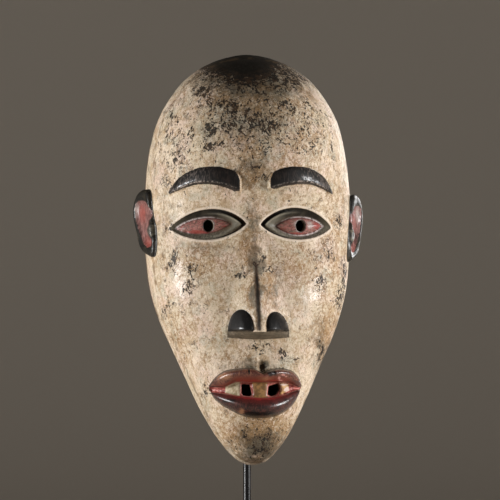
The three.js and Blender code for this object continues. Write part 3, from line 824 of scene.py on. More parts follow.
# Smoother paint that takes a shine
GLOSSY_AREAS = [
    (-52, 137, 15, 24, 1.0), (44, 134, 24, 10, 1.0), (26, 92, 14, 10, 0.7), (-60, 200, 9, 12, 0.7),
    (-12, 124, 9, 18, 0.8), (14, 236, 15, 8, 0.7), (-54, 287, 14, 14, 0.7), (-30, 60, 12, 30, 0.4),
]
# Colours in the eyes, on the lips, on the teeth and in the ears that differ from those around them
EYE_RED = [
    (-46, 181.8, 8, 1.5, 1.0), (-38, 181.2, 5, 1.0, 0.8), (48.4, 186.8, 3, 3.6, 1.0),
    (33, 180.6, 12, 1.2, 0.7), (-26, 186, 7, 0.8, 0.7), (20, 184, 4, 2, 0.6),
]
EYE_PALE = [
    (42.6, 186.8, 2.6, 3.4, 1.0), (17.5, 186, 2.0, 1.2, 0.7), (-30, 189, 4, 2, 0.4), (34, 188, 11, 4, 0.6),
]
LIP_WORN = [(-26.5, 69.5, 7.5, 3.6, 0.85), (4.5, 67.5, 7.5, 2.6, 0.7), (-12.9, 42.3, 2.6, 3.8, 0.85)]
# The lips' dark areas: those at heights 40 and 40.5 blacken the bottom of the lower lip, partly as dark paint
# and partly as painted shade on its downward side
LIP_DARK_AND_SHADE = [(10, 72, 4.5, 3.0, 0.9), (-4, 40, 8, 3, 1.0), (8, 40.5, 10, 2.6, 0.7), (-22, 50.5, 8, 2.4, 0.7)]
LIP_PINK = [
    (16.3, 68.2, 1.3, 1.5, 1.0), (19.4, 70.6, 2.2, 0.9, 1.0), (22.2, 69.4, 1.6, 0.7, 0.9),
    (17.8, 66.5, 2.5, 0.7, 0.9), (-26, 72.5, 5, 1.6, 0.5),
]
TOOTH_PALE = [(23.8, 59.4, 2.8, 2.4, 1.0), (21.6, 63.1, 3.6, 0.8, 1.2)]
# The pale area high on the left ear's rim, at height 199, is a painted highlight
EAR_PALE_AND_HIGHLIGHT = [(-87.5, 199, 3, 8, 0.8), (-87.5, 184, 3, 7, 0.5), (87.5, 196, 3, 9, 0.8)]
EAR_RED = [(-83, 196, 3, 9, 1.0), (-79.5, 172, 3, 7, 1.0), (84, 190, 3, 8, 0.8), (82.5, 167, 3, 5, 0.9)]
EAR_DARK = [(-85, 179, 2, 8, 0.8), (86, 178, 3.5, 5, 0.9), (84.5, 162, 3, 5, 0.7)]
SOFT_AREAS = dict(
    eye_red=EYE_RED, eye_pale=EYE_PALE, lip_worn=LIP_WORN, lip_dark_and_shade=LIP_DARK_AND_SHADE, lip_pink=LIP_PINK,
    tooth_pale=TOOTH_PALE, ear_pale_and_highlight=EAR_PALE_AND_HIGHLIGHT, ear_red=EAR_RED, ear_dark=EAR_DARK,
)


# Light and dark tone of each tooth, from the left
TOOTH_TONES = (
    ((206, 194, 166), (158, 142, 112)), ((160, 122, 78), (112, 86, 54)), ((200, 158, 104), (158, 116, 72)),
)
# Tones of each lip, outside dark and light, inside deep and bright red, and how far out the red reaches
LIP_TONES = dict(
    upper_lip=((74, 36, 28), (138, 88, 66), (122, 58, 44), (144, 54, 44), 3.6),
    lower_lip=((36, 15, 13), (98, 50, 42), (92, 32, 29), (152, 46, 46), 3.2),
)
# Millimetres that the paint's own unevenness raises its surface, and that it shows through the varnish
PAINT_RELIEF = 0.45
VARNISH_RELIEF = 0.16
VARNISH_ROUGHNESS = 0.16
LACQUER_RELIEF = 0.002


def ear_guides(x, depth, z, shell):
    """Distances inside an ear's dark paint, inside its red hollow and inside the flap before it."""
    found = dict(ear=np.full(len(x), -FAR), ear_hollow=np.full(len(x), -FAR), ear_flap=np.full(len(x), -FAR))
    for ear in EARS:
        root, reach, out = ear_axes(ear)
        width = np.linalg.norm(reach)
        across = ((x - root[0]) * reach[0] + (depth - root[1]) * reach[1]) / width
        lift = (x - root[0]) * out[0] + (depth - root[1]) * out[1]
        up = z - ear["height"]
        scale = np.array([width, EAR["half"]])
        own = (np.abs(lift) < 9) & (x * ear["side"] > 60)
        outline = distance_inside(across, up, ear_curve * scale)
        root_side = distance_inside(across + 2.0, up, ear_curve * scale)
        outline = np.maximum(outline, root_side) + 0.3
        found["ear"] = np.where(own, np.minimum(outline, 2.5 - shell), found["ear"])
        face = own & (lift > -2.0)
        for name, curve in (("ear_hollow", ear_hollow_curve), ("ear_flap", ear_flap_curve)):
            found[name] = np.where(face, distance_inside(across, up, curve * scale), found[name])
    return found


def eye_guides(x, z):
    """Strengths on the lids: the crevice toward the nose, which gets painted shadow, and the fold beside it,
    which gets a painted highlight; how low a place lies, which sets painted light on the lower lid and
    painted shade on the upper; how near either corner, with painted sheen toward the nose; and the edge
    beside the eyeball, which gets a painted highlight."""
    names = ("crevice", "lid_fold_highlight", "lid_lit_low", "lid_nasal_sheen", "lid_outer", "lid_edge_highlight")
    found = {name: np.zeros(len(x)) for name in names}
    for eye, outline, ball in zip(EYES, OUTLINES["lid"], OUTLINES["eyeball"]):
        inside, on_ball, nasal = eye_place(x, z, eye, outline, ball)
        along = eye["side"] * (x - eye["x"]) / eye["half"]
        # How far above the eye's middle line a place lies: the lid is painted dark there as shade, and
        # painted light below it
        high = smoothstep(-2.5, 1.0, z - eye["height"] + eye["lean"] * along)
        # Painted highlight: a pale line along the eyeball's raised edge away from the nose, on the left eye
        # only above it
        pale = (1 - nasal) * bell(on_ball, -0.5, 0.5)
        if eye["side"] < 0:
            pale = pale * high
        values = dict(
            # Painted shadow: near black in the deep crevice at the nasal corner
            crevice=nasal * bell(inside, 0.6 + 0.7 * high, 0.7 + 1.2 * high),
            # Painted highlight on the fold toward the nose
            lid_fold_highlight=nasal * bell(inside, 2.0 + 1.6 * high, 0.55),
            lid_lit_low=1 - high, lid_nasal_sheen=nasal, lid_outer=smoothstep(0.55, 0.95, along), lid_edge_highlight=pale,
        )
        for name, value in values.items():
            found[name] = np.where(inside > -5, value, found[name])
    return found


def nose_line(x, z):
    """The dark worn line straight down the nose, thin above and broad over the tip."""
    middle = mix(-0.8, -2.1, clamp01((z - 110) / 68))
    width = mix(2.0, 1.0, smoothstep(135, 172, z))
    strength = (0.45 + 0.55 * smoothstep(162, 140, z)) * smoothstep(104.3, 106, z) * smoothstep(186, 172, z)
    return strength * bell(x, middle, width)


def paint_guides(mesh):
    """Stores on each vertex what the paint needs to know about its place on the carving."""
    points = mesh_points(mesh)
    x, depth, z = points[:, 0], -points[:, 1], points[:, 2]
    shell = shell_place(x, depth, z)
    front = shell < FRONT_SHELL
    guides = {}
    for name, outlines in OUTLINES.items():
        guides[name] = np.where(front, deepest(x, z, outlines), -FAR)
    guides["pupil"] = deepest(x, z, OUTLINES["pupil"])
    guides.update(ear_guides(x, depth, z, shell))
    guides.update(eye_guides(x, z))
    side = np.where(x > BROWS_X, 1, -1)
    guides["brow_out"], guides["brow_up"] = brow_place(x, z, side)
    share, low_share = lip_share(x, LIPS["half"]), lip_share(x, LIPS["lower_half"])
    to_slit = np.where(z > LIPS_MEET, upper_lip_bottom(share) - z, z - lower_lip_top(low_share))
    guides["lip_inner"] = to_slit - 4.5 * (1 - bow(share)) ** 1.5
    guides["lip_crack"] = spread(x, z, [(*crack, 1.0) for crack in LIP_CRACKS])
    guides["wood"] = np.maximum(smoothstep(3.0, 6.0, shell), smoothstep(2.2, 0.6, depth))
    guides["rim"] = depth
    guides["edge"] = inside_edge(x, z)[0]
    guides["hollowness"] = hollowness(mesh, points)
    wander = 3.0 * np.stack([lattice_noise(points, 6, seed) for seed in (11, 12)], axis=1)
    broad = x + 2 * wander[:, 0], z + 2 * wander[:, 1]
    guides["dark"] = spread(x + wander[:, 0], z + wander[:, 1], DARK_MARKS) * front
    guides["nose_line"] = nose_line(x, z) * front
    guides["grime_and_shade"] = spread(*broad, GRIME_AND_SHADE) * front
    guides["warm"] = spread(*broad, WARM_AREAS) * front
    guides["gloss"] = spread(*broad, GLOSSY_AREAS) * front
    for name, areas in SOFT_AREAS.items():
        guides[name] = spread(x, z, areas)
    for name, values in guides.items():
        mesh.attributes.new(name, "FLOAT", "POINT").data.foreach_set("value", values.astype(np.float32))


def colour(red, green, blue):
    """A colour as it looks on a screen, from 0 to 255, as the linear colour that a shader takes."""
    def linear(value):
        share = value / 255
        return share / 12.92 if share < 0.04045 else ((share + 0.055) / 1.055) ** 2.4
    return (linear(red), linear(green), linear(blue), 1.0)


class Wiring:
    """Adds nodes to a tree with short calls. A value may be a number, a colour or another node's output."""

    def __init__(self, tree):
        self.tree = tree
        self.place = None

    def feed(self, socket, value):
        if isinstance(value, bpy.types.NodeSocket):
            self.tree.links.new(value, socket)
        else:
            socket.default_value = value

    def math(self, operation, *values):
        node = self.tree.nodes.new("ShaderNodeMath")
        node.operation = operation
        for socket, value in zip(node.inputs, values):
            self.feed(socket, value)
        return node.outputs[0]

    def ramp(self, value, low, high, to_low=0.0, to_high=1.0):
        """Goes smoothly from to_low to to_high while the value goes from low to high."""
        node = self.tree.nodes.new("ShaderNodeMapRange")
        node.interpolation_type = "SMOOTHSTEP"
        for socket, number in zip(node.inputs, (value, low, high, to_low, to_high)):
            self.feed(socket, number)
        return node.outputs[0]

    def mixed(self, kind, sockets, values):
        """Outputs of a mix node whose share, lower value and upper value are at the sockets given."""
        node = self.tree.nodes.new("ShaderNodeMix")
        node.data_type = kind
        node.clamp_factor = True
        for socket, value in zip(sockets, values):
            self.feed(node.inputs[socket], value)
        return node.outputs

    def blend(self, share, under, over):
        return self.mixed("RGBA", (0, 6, 7), (share, under, over))[2]

    def between(self, share, under, over):
        return self.mixed("FLOAT", (0, 2, 3), (share, under, over))[0]

    def guide(self, name):
        node = self.tree.nodes.new("ShaderNodeAttribute")
        node.attribute_name = name
        return node.outputs["Fac"]

    def where(self, stretch=(1, 1, 1), shift=0.0):
        """The object's own coordinates, stretched along an axis by the numbers given."""
        if self.place is None:
            self.place = self.tree.nodes.new("ShaderNodeTexCoord").outputs["Object"]
        node = self.tree.nodes.new("ShaderNodeMapping")
        self.feed(node.inputs["Vector"], self.place)
        node.inputs["Location"].default_value = (shift, shift, shift)
        if isinstance(stretch, bpy.types.NodeSocket):
            self.feed(node.inputs["Scale"], stretch)
        else:
            node.inputs["Scale"].default_value = [1 / length for length in stretch]
        return node.outputs[0]

    def noise(self, size, detail=2.0, roughness=0.5, distortion=0.0, **place):
        """Noise about 0.5, with features of a size in millimetres."""
        node = self.tree.nodes.new("ShaderNodeTexNoise")
        self.feed(node.inputs["Vector"], self.where(**place))
        node.inputs["Scale"].default_value = 1 / (size * MM)
        node.inputs["Detail"].default_value = detail
        node.inputs["Roughness"].default_value = roughness
        node.inputs["Distortion"].default_value = distortion
        return node.outputs[0]

    def chain(self, operation, values):
        total = values[0]
        for value in values[1:]:
            total = self.math(operation, total, value)
        return total

    def sum(self, *values):
        return self.chain("ADD", values)

    def times(self, *values):
        return self.chain("MULTIPLY", values)

    def bump(self, height, distance):
        """Normals of a surface raised by a height times a distance in millimetres."""
        node = self.tree.nodes.new("ShaderNodeBump")
        node.inputs["Strength"].default_value = 1.0
        node.inputs["Distance"].default_value = distance * MM
        self.feed(node.inputs["Height"], height)
        return node.outputs[0]


def lay(wires, share, under, over):
    """Puts one finish over another: each is a colour, a roughness, a height and a share of varnish."""
    numbers = [wires.between(share, low, high) for low, high in zip(under[1:], over[1:])]
    return (wires.blend(share, under[0], over[0]), *numbers)


def coats(wires, base, *layers):
    """A colour with others over it in turn. Each layer is its share, and its red, green and blue."""
    for share, tone in layers:
        base = wires.blend(share, base, colour(*tone))
    return base


def patchy(wires, name, size=1.6, low=0.75, high=1.05, most=0.9):
    """Share of a tint on the area that a guide holds, broken by noise of a size."""
    area = wires.sum(wires.guide(name), wires.times(wires.noise(size, 3, 0.6, shift=4.3), 0.8))
    return wires.ramp(area, low, high, 0, most)


def vein(wires, size, width, **place):
    """Thin winding lines about size apart: 1 on the line, 0 off it."""
    away = wires.math("ABSOLUTE", wires.math("SUBTRACT", wires.noise(size, 3, 0.55, 0.6, **place), 0.5))
    return wires.ramp(away, width, width * 0.3)


def cream_paint(wires):
    """Old kaolin paint: cream, gone ochre and grey in patches, with a net of worn lines."""
    warm = wires.sum(wires.guide("warm"), wires.times(wires.noise(7, 4, 0.65), 0.9))
    large = wires.noise(38, 3, 0.55, 0.6)
    middle = wires.noise(8, 4, 0.65, 0.8, shift=0.3, stretch=(1, 1, 1.3))
    small = wires.noise(2.2, 4, 0.7, 0.5, shift=0.7, stretch=(1, 1, 1.3))
    grain = wires.noise(0.8, 3, 0.7, 0.3, shift=1.3, stretch=(1, 1, 1.5))
    worn = wires.times(vein(wires, 5.5, 0.05, shift=2.9), wires.ramp(warm, 0.4, 0.85, 0.12, 0.8))
    base = coats(
        wires, colour(222, 203, 180),
        (wires.ramp(large, 0.38, 0.62), (208, 190, 163)),
        (wires.ramp(wires.noise(22, 3, shift=2.1), 0.48, 0.64, 0, 0.6), (218, 190, 174)),
        (wires.ramp(wires.noise(16, 3, shift=3.7), 0.5, 0.66, 0, 0.65), (178, 172, 152)),
        (wires.ramp(middle, 0.5, 0.6, 0, 0.7), (182, 154, 120)),
        (wires.ramp(warm, 0.62, 1.25, 0, 0.85), (158, 122, 78)),
        (worn, (142, 106, 66)),
        (wires.ramp(small, 0.46, 0.36, 0, 0.6), (232, 218, 200)),
        (wires.ramp(small, 0.54, 0.64, 0, 0.75), (150, 120, 86)),
        (wires.ramp(grain, 0.56, 0.66, 0, 0.6), (100, 78, 54)),
        (wires.ramp(grain, 0.43, 0.33, 0, 0.5), (236, 224, 208)),
    )
    shine = wires.sum(wires.guide("gloss"), wires.times(wires.math("SUBTRACT", middle, 0.5), 2.4))
    height = wires.sum(wires.times(small, 0.6), wires.times(grain, 0.35), wires.times(middle, 0.7))
    return base, wires.ramp(grain, 0.3, 0.7, 0.5, 0.62), height, wires.ramp(shine, 0.4, 0.8, 0.03, 0.42)


def grime_and_shade_film(wires, base):
    """Grey-brown dirt lies in a broken film over the paint; in the hollow beside the tongue over the upper
    lip the same film is painted shade.
    """
    film = wires.sum(wires.guide("grime_and_shade"), wires.times(wires.noise(4.5, 4, 0.7, 0.6, shift=4.7), 0.9))
    film = wires.sum(film, wires.times(wires.noise(1.3, 3, 0.7, shift=5.9, stretch=(1, 1, 2.5)), 0.7))
    warmth = wires.ramp(wires.noise(12, 3, shift=9.4), 0.42, 0.6)
    tone = wires.blend(warmth, colour(96, 78, 56), colour(92, 87, 74))
    tone = wires.blend(wires.ramp(film, 1.5, 2.15), tone, colour(44, 36, 26))
    return wires.blend(wires.ramp(film, 0.88, 1.55, 0, 0.86), base, tone)


def dark_flecks(wires):
    """Share of bare dark wood or soot in the cream: crisp flecks, crowded in the dark marks, with fine
    winding lines, and darkening in the bottoms of cuts that is partly dirt and partly painted shade."""
    dark = wires.guide("dark")
    flecks = wires.noise(3.0, 3, 0.55, 1.0, shift=6.3, stretch=(1, 1, 1.35))
    specks = wires.noise(1.1, 2, 0.5, 0.4, shift=7.9)
    crowd = wires.sum(wires.times(dark, 0.38), wires.times(wires.noise(14, 3, 0.6, shift=5.1), 0.25))
    marks = wires.ramp(wires.sum(flecks, wires.times(specks, 0.45), crowd), 1.065, 1.095)
    patches = wires.ramp(wires.sum(wires.noise(9, 3, shift=8.2), wires.times(dark, 0.3)), 0.56, 0.68)
    lines = wires.times(vein(wires, 3.4, 0.03, shift=9.1), patches, 0.7)
    broken = wires.ramp(flecks, 0.42, 0.6, 0.2, 0.7)
    off_lip = wires.ramp(wires.guide("lower_lip"), -1.5, -4.0)
    # Partly dirt, partly painted shade: darker in the bottoms of cuts and creases
    cuts = wires.times(wires.ramp(wires.guide("hollowness"), 0.1, 0.3), broken, off_lip, 0.7)
    return wires.math("MINIMUM", 1.0, wires.sum(marks, lines, cuts))


def sharp(wires, name, wobble=0.3, soft=0.18, shift=0.0, grow=0.0):
    """1 inside a painted area and 0 outside it, with a hand-painted edge."""
    edge = wires.times(wires.math("SUBTRACT", wires.noise(2.0, 3, shift=shift), 0.5), wobble * 4)
    return wires.ramp(wires.sum(wires.guide(name), edge, grow), -soft, soft)


def black_paint(wires, dark, light, shine, stretch=(1, 1, 6), shift=0.0, relief=0.9):
    """Dark paint with fine brush lines and rubbed places in a lighter tone, varnished in patches; on the
    brows that lighter tone also carries painted sheen.
    """
    lines = wires.noise(0.9, 2, 0.6, 0.2, stretch=stretch, shift=shift)
    cloud = wires.noise(6, 3, 0.6, shift=shift + 0.5)
    base = wires.blend(wires.ramp(wires.sum(lines, wires.times(cloud, 0.6)), 0.74, 1.0), dark, light)
    patches = wires.ramp(wires.noise(3.5, 3, 0.6, shift=shift + 1.1), 0.4, 0.56, 0.15, 1.0)
    return base, 0.55, wires.times(lines, relief), wires.times(patches, shine)


def eyeball_paint(wires):
    """Dull red over grey brown, streaked across, with creases, pale and red areas and a dark edge."""
    streaks = wires.noise(1.3, 4, 0.65, 0.8, stretch=(4.0, 1, 1), shift=1.7)
    base = coats(
        wires, colour(160, 106, 98),
        (wires.ramp(streaks, 0.44, 0.6), (112, 92, 80)),
        (wires.ramp(wires.noise(4, 3, shift=3.3), 0.5, 0.66, 0, 0.5), (134, 70, 62)),
        (wires.times(vein(wires, 3.0, 0.03, shift=7.1, stretch=(3.5, 1, 1)), 0.6), (84, 36, 34)),
        (patchy(wires, "eye_pale", most=0.75), (172, 154, 148)),
        (patchy(wires, "eye_red", most=0.7), (148, 50, 43)),
        (wires.ramp(wires.guide("eyeball"), 1.0, 0.1, 0, 0.75), (92, 40, 42)),
        (wires.ramp(wires.guide("pupil"), -1.3, -0.3, 0, 0.75), (70, 48, 54)),
        (wires.ramp(wires.noise(0.8, 3, 0.6, shift=2.2), 0.6, 0.66, 0, 0.7), (60, 34, 32)),
    )
    return base, 0.5, wires.times(streaks, 0.8), 0.3


def lid_paint(wires):
    """Olive black above the eyeball and grey, finely wrinkled below it: painted shade on the upper lid and
    painted light on the lower. Lighter toward both corners, toward the nose as painted sheen, with painted
    shadow in the nasal crevice and painted highlights on the fold and along the eyeball's edge.
    """
    cloud = wires.noise(5, 3, 0.6, shift=3.5)
    wrinkles = wires.noise(0.9, 3, 0.6, 0.3, stretch=(1, 1, 3.5), shift=3.0)
    # Painted shade and light: the upper lid near black as if shaded, the lower lid light grey as if lit
    high = wires.blend(wires.ramp(cloud, 0.42, 0.62), colour(28, 25, 19), colour(50, 45, 35))
    low = wires.blend(wires.ramp(wrinkles, 0.4, 0.6), colour(122, 115, 102), colour(78, 72, 62))
    broken = wires.ramp(wires.noise(2.5, 3, shift=3.9), 0.36, 0.5, 0.3, 1)
    base = coats(
        wires, wires.blend(wires.guide("lid_lit_low"), high, low),
        # Painted sheen: the lid is lighter toward the nose
        (wires.ramp(wires.guide("lid_nasal_sheen"), 0.4, 1.0, 0, 0.75), (116, 110, 96)),
        (wires.times(wires.guide("lid_outer"), 0.7), (112, 104, 88)),
        (wires.ramp(wires.guide("eyeball"), -3.0, -0.3, 0, 0.45), (40, 34, 26)),
        # Painted highlight: a pale line on the fold toward the nose
        (wires.times(wires.guide("lid_fold_highlight"), 0.6), (176, 168, 150)),
        # Painted highlight: a pale broken line along the eyeball's edge
        (wires.times(wires.guide("lid_edge_highlight"), broken, 0.9), (222, 206, 202)),
        # Painted shadow: near black in the nasal crevice
        (wires.ramp(wires.guide("crevice"), 0.3, 0.6), (4, 3, 3)),
    )
    return base, 0.55, wires.times(wrinkles, 0.8), 0.15


def lip_paint(wires, outer, outer_light, deep_red, bright_red, boundary):
    """A lip is dark outside and red inside. lip_inner is minus the distance out from the mouth's edge."""
    wrinkles = wires.noise(0.9, 4, 0.65, 0.4, stretch=(1, 1, 4.5), shift=2.9)
    cloud = wires.noise(4.5, 4, 0.65, shift=0.9)
    uneven = wires.times(wires.math("SUBTRACT", cloud, 0.5), 3.0)
    inward = wires.sum(wires.guide("lip_inner"), uneven, boundary)
    bright = wires.times(wires.ramp(inward, 0.8, 2.2), wires.ramp(wrinkles, 0.64, 0.46, 0.3, 0.9))
    base = coats(
        wires, colour(*outer),
        (wires.ramp(wires.sum(wrinkles, wires.times(cloud, 0.5)), 0.68, 0.9), outer_light),
        (wires.ramp(inward, -3.2, 0.8, 0, 0.9), deep_red),
        (wires.ramp(wrinkles, 0.5, 0.66, 0, 0.5), outer),
        (bright, bright_red),
        # Dark areas, partly painted shade on the downward side of the lower lip
        (patchy(wires, "lip_dark_and_shade", 2.0), (16, 11, 12)),
        (patchy(wires, "lip_worn", 1.4, 0.65, 1.35, 0.85), (164, 116, 84)),
        (patchy(wires, "lip_pink", 1.2), (200, 138, 126)),
        (wires.ramp(wires.guide("lip_crack"), 0.3, 0.6), (8, 6, 6)),
    )
    shine = wires.ramp(wires.sum(inward, wires.times(cloud, 3.0)), 2.4, -0.6, 0.12, 0.8)
    return base, 0.5, wires.times(wrinkles, 0.8), shine


def tooth_paint(wires):
    """The left tooth is cream, the middle one olive brown, the right one ochre; their cut edges are pale."""
    x = wires.tree.nodes.new("ShaderNodeSeparateXYZ")
    wires.feed(x.inputs[0], wires.where())
    across = wires.math("DIVIDE", x.outputs[0], MM)
    mottle = wires.noise(3, 3, 0.6, shift=4.1)
    shade = wires.ramp(mottle, 0.4, 0.62)
    left, middle, right = [wires.blend(shade, colour(*light), colour(*dark)) for light, dark in TOOTH_TONES]
    base = wires.blend(wires.ramp(across, -8, -7), left, middle)
    near_hole = wires.guide("mouth_hole")
    base = coats(
        wires, wires.blend(wires.ramp(across, 12, 13), base, right),
        (wires.ramp(near_hole, -2.8, -1.6, 0, 0.65), (124, 84, 66)),
        (wires.ramp(near_hole, -1.2, -0.7, 0, 0.85), (222, 194, 182)),
        (patchy(wires, "tooth_pale", 1.2), (226, 204, 192)),
    )
    return base, 0.5, wires.times(mottle, 0.6), 0.25


def bare_wood(wires):
    """Dark brown wood with its grain up the mask, blackened by handling and paler on its edges."""
    grain = wires.noise(1.5, 4, 0.65, 0.8, stretch=(1, 1, 14), shift=3.1)
    base = coats(
        wires, colour(104, 74, 48),
        (wires.ramp(grain, 0.35, 0.7), (62, 42, 28)),
        (wires.ramp(wires.noise(22, 4, 0.6, 0.5, shift=6.6), 0.42, 0.62, 0, 0.7), (44, 32, 24)),
        (wires.ramp(wires.guide("hollowness"), -0.05, -0.18, 0, 0.6), (142, 108, 74)),
    )
    return base, 0.62, wires.times(grain, 1.3), 0.0


def paint_skin(wires, wood):
    """The cream paint with its dirt, dark marks and worn edges, painted shade in a few hollows, and a painted
    highlight on the thin lip round each eye.
    """
    base, rough, height, shine = cream_paint(wires)
    # Painted highlight: a pale band on the thin raised lip round each eye
    outside_lid = wires.guide("lid")
    lid_rim_highlight = wires.times(wires.ramp(outside_lid, -2.4, -1.2), wires.ramp(outside_lid, 0.2, -0.3))
    base = wires.blend(wires.times(lid_rim_highlight, 0.7), base, colour(238, 222, 204))
    finish = (grime_and_shade_film(wires, base), rough, height, shine)
    soot = wires.noise(3, 3, 0.6, shift=2.6)
    dark = wires.blend(wires.ramp(soot, 0.46, 0.62), colour(26, 23, 21), colour(66, 48, 33))
    sooty = wires.ramp(wires.guide("dark"), 0.95, 1.5)
    dark = wires.blend(sooty, dark, colour(6, 6, 5))
    finish = lay(wires, wires.times(dark_flecks(wires), 0.95), finish, (dark, 0.65, 0.1, 0.03))
    streaks = wires.noise(1.3, 4, 0.7, 0.4, stretch=(1, 1, 5))
    line = wires.sum(wires.guide("nose_line"), wires.times(streaks, 0.9))
    worn_line = wires.blend(wires.ramp(line, 0.9, 1.4), colour(70, 46, 31), colour(22, 16, 13))
    finish = lay(wires, wires.ramp(line, 0.5, 1.35, 0, 0.92), finish, (worn_line, 0.6, 0.2, 0.1))
    edge = wires.guide("edge")
    edge_line = wires.times(wires.ramp(edge, 3.8, 2.8), wires.ramp(edge, 1.4, 2.2))
    edge_worn = wires.times(edge_line, wires.ramp(wires.noise(6, 4, shift=1.1), 0.45, 0.62, 0, 0.7))
    finish = lay(wires, edge_worn, finish, (colour(110, 88, 62), 0.6, 0.3, 0.0))
    rim_wear = wires.sum(wires.guide("rim"), wires.times(wires.noise(8, 4, 0.7, shift=7.2), 22))
    rim_wear = wires.sum(wires.ramp(rim_wear, 24, 15), wires.times(sooty, -1.0))
    return lay(wires, wires.math("MAXIMUM", rim_wear, 0.0), finish, wood)


def paint_brows(wires, finish):
    # Painted sheen: the lighter tone of the brush lines grows toward each brow's outer end
    outer_sheen = wires.ramp(wires.guide("brow_out"), 0.3, 0.75)
    light = wires.blend(outer_sheen, colour(38, 29, 25), colour(98, 88, 82))
    base, rough, height, shine = black_paint(wires, colour(14, 11, 9), light, 0.8, relief=0.6)
    # A pale broken line along the crest near the lower edge, more toward the outer end: partly worn paint,
    # partly painted highlight
    from_crest = wires.math("ABSOLUTE", wires.sum(wires.guide("brow_up"), 0.66))
    broken = wires.ramp(wires.noise(2.2, 3, 0.7), 0.46, 0.58, 0, 0.8)
    outer_wear_and_highlight = wires.ramp(wires.guide("brow_out"), 0.2, 0.7, 0.3, 1)
    worn = wires.times(wires.ramp(from_crest, 0.14, 0.03), broken, outer_wear_and_highlight)
    base = wires.blend(worn, base, colour(186, 172, 162))
    bare_end = wires.ramp(wires.guide("brow_out"), 0.1, 0.02, 0, -1.6)
    return lay(wires, sharp(wires, "brow", grow=bare_end), finish, (base, rough, height, shine))


def paint_eyes(wires, finish):
    finish = lay(wires, sharp(wires, "lid", wobble=0.15), finish, lid_paint(wires))
    finish = lay(wires, sharp(wires, "eyeball", wobble=0.1), finish, eyeball_paint(wires))
    pierced = wires.ramp(wires.guide("pupil"), -0.4, 0.0)
    return lay(wires, pierced, finish, (colour(160, 152, 138), 0.6, 0.5, 0.0))


def paint_nostrils(wires, finish):
    nostril = black_paint(wires, colour(7, 5, 5), colour(24, 20, 18), 0.75, shift=6.0, relief=0.2)
    finish = lay(wires, sharp(wires, "nostril", wobble=0.12), finish, nostril)
    under = black_paint(wires, colour(92, 82, 68), colour(124, 110, 92), 0.1, stretch=(4, 1, 1), shift=7.0)
    return lay(wires, sharp(wires, "nose_base", wobble=0.15), finish, under)


def paint_mouth(wires, finish):
    """The lips with a dark line along their outer edges, the flesh between them, and the teeth."""
    for name, tones in LIP_TONES.items():
        base, *others = lip_paint(wires, *tones)
        at_edge = wires.ramp(wires.guide(name), 1.2, 0.3)
        outside = wires.ramp(wires.guide("lip_inner"), -2.0, -4.0)
        edged = wires.blend(wires.times(at_edge, outside, 0.85), base, colour(18, 13, 12))
        finish = lay(wires, sharp(wires, name, wobble=0.15), finish, (edged, *others))
    patches = wires.ramp(wires.noise(2.5, 3, shift=1.9), 0.4, 0.6)
    flesh = wires.blend(patches, colour(196, 122, 112), colour(124, 48, 44))
    in_mouth = sharp(wires, "mouth", wobble=0.1)
    finish = lay(wires, in_mouth, finish, (flesh, 0.5, 0.5, 0.3))
    return lay(wires, wires.times(in_mouth, sharp(wires, "teeth", 0.2)), finish, tooth_paint(wires))


def paint_ears(wires, finish):
    on_ear = sharp(wires, "ear", wobble=0.15)
    black = black_paint(wires, colour(14, 12, 9), colour(54, 48, 35), 0.5, stretch=(1, 1, 2.5), shift=8.0)
    finish = lay(wires, on_ear, finish, black)
    mottle = wires.noise(2.4, 4, 0.65, 0.8, shift=8.8, stretch=(1, 1, 2.2))
    streaks = wires.noise(1.1, 4, 0.7, 0.6, shift=9.7, stretch=(1, 1, 3.5))
    base = coats(
        wires, colour(136, 98, 92),
        (wires.ramp(mottle, 0.42, 0.58), (92, 60, 56)),
        (patchy(wires, "ear_red", 2.4, 0.5, 1.6, 0.8), (156, 78, 68)),
        # Pale tint, partly a painted highlight on the left ear's rim
        (patchy(wires, "ear_pale_and_highlight", 1.8, 0.6, 1.4, 0.85), (186, 176, 170)),
        (patchy(wires, "ear_dark", 2.4, 0.6, 1.5), (26, 20, 18)),
        (wires.ramp(streaks, 0.54, 0.66, 0, 0.6), (84, 52, 48)),
        (wires.ramp(streaks, 0.44, 0.34, 0, 0.5), (190, 140, 130)),
    )
    hollow = (base, 0.5, 0.5, wires.ramp(mottle, 0.4, 0.6, 0.6, 0.1))
    finish = lay(wires, wires.times(sharp(wires, "ear_hollow", 0.5), on_ear), finish, hollow)
    flap = coats(
        wires, colour(58, 55, 52),
        (wires.ramp(wires.noise(4, 3, shift=4.9), 0.4, 0.6), (104, 99, 86)),
        (wires.ramp(wires.guide("ear_flap"), 1.3, 0.3), (14, 12, 12)),
    )
    return lay(wires, wires.times(sharp(wires, "ear_flap", 0.1), on_ear), finish, (flap, 0.5, 0.4, 0.4))


def mask_paint():
    material = bpy.data.materials.new("painted_wood")
    material.use_nodes = True
    wires = Wiring(material.node_tree)
    wood = bare_wood(wires)
    finish = paint_skin(wires, wood)
    for paint in (paint_brows, paint_eyes, paint_nostrils, paint_mouth, paint_ears):
        finish = paint(wires, finish)
    tone, rough, height, varnish = lay(wires, wires.guide("wood"), finish, wood)
    shader = material.node_tree.nodes["Principled BSDF"]
    for socket, value in (
            ("Base Color", tone), ("Roughness", rough), ("Normal", wires.bump(height, PAINT_RELIEF)),
            ("Coat Weight", varnish), ("Coat Normal", wires.bump(height, VARNISH_RELIEF)),
            ("Coat Roughness", VARNISH_ROUGHNESS), ("Specular IOR Level", 0.2)):
        wires.feed(shader.inputs[socket], value)
    return material


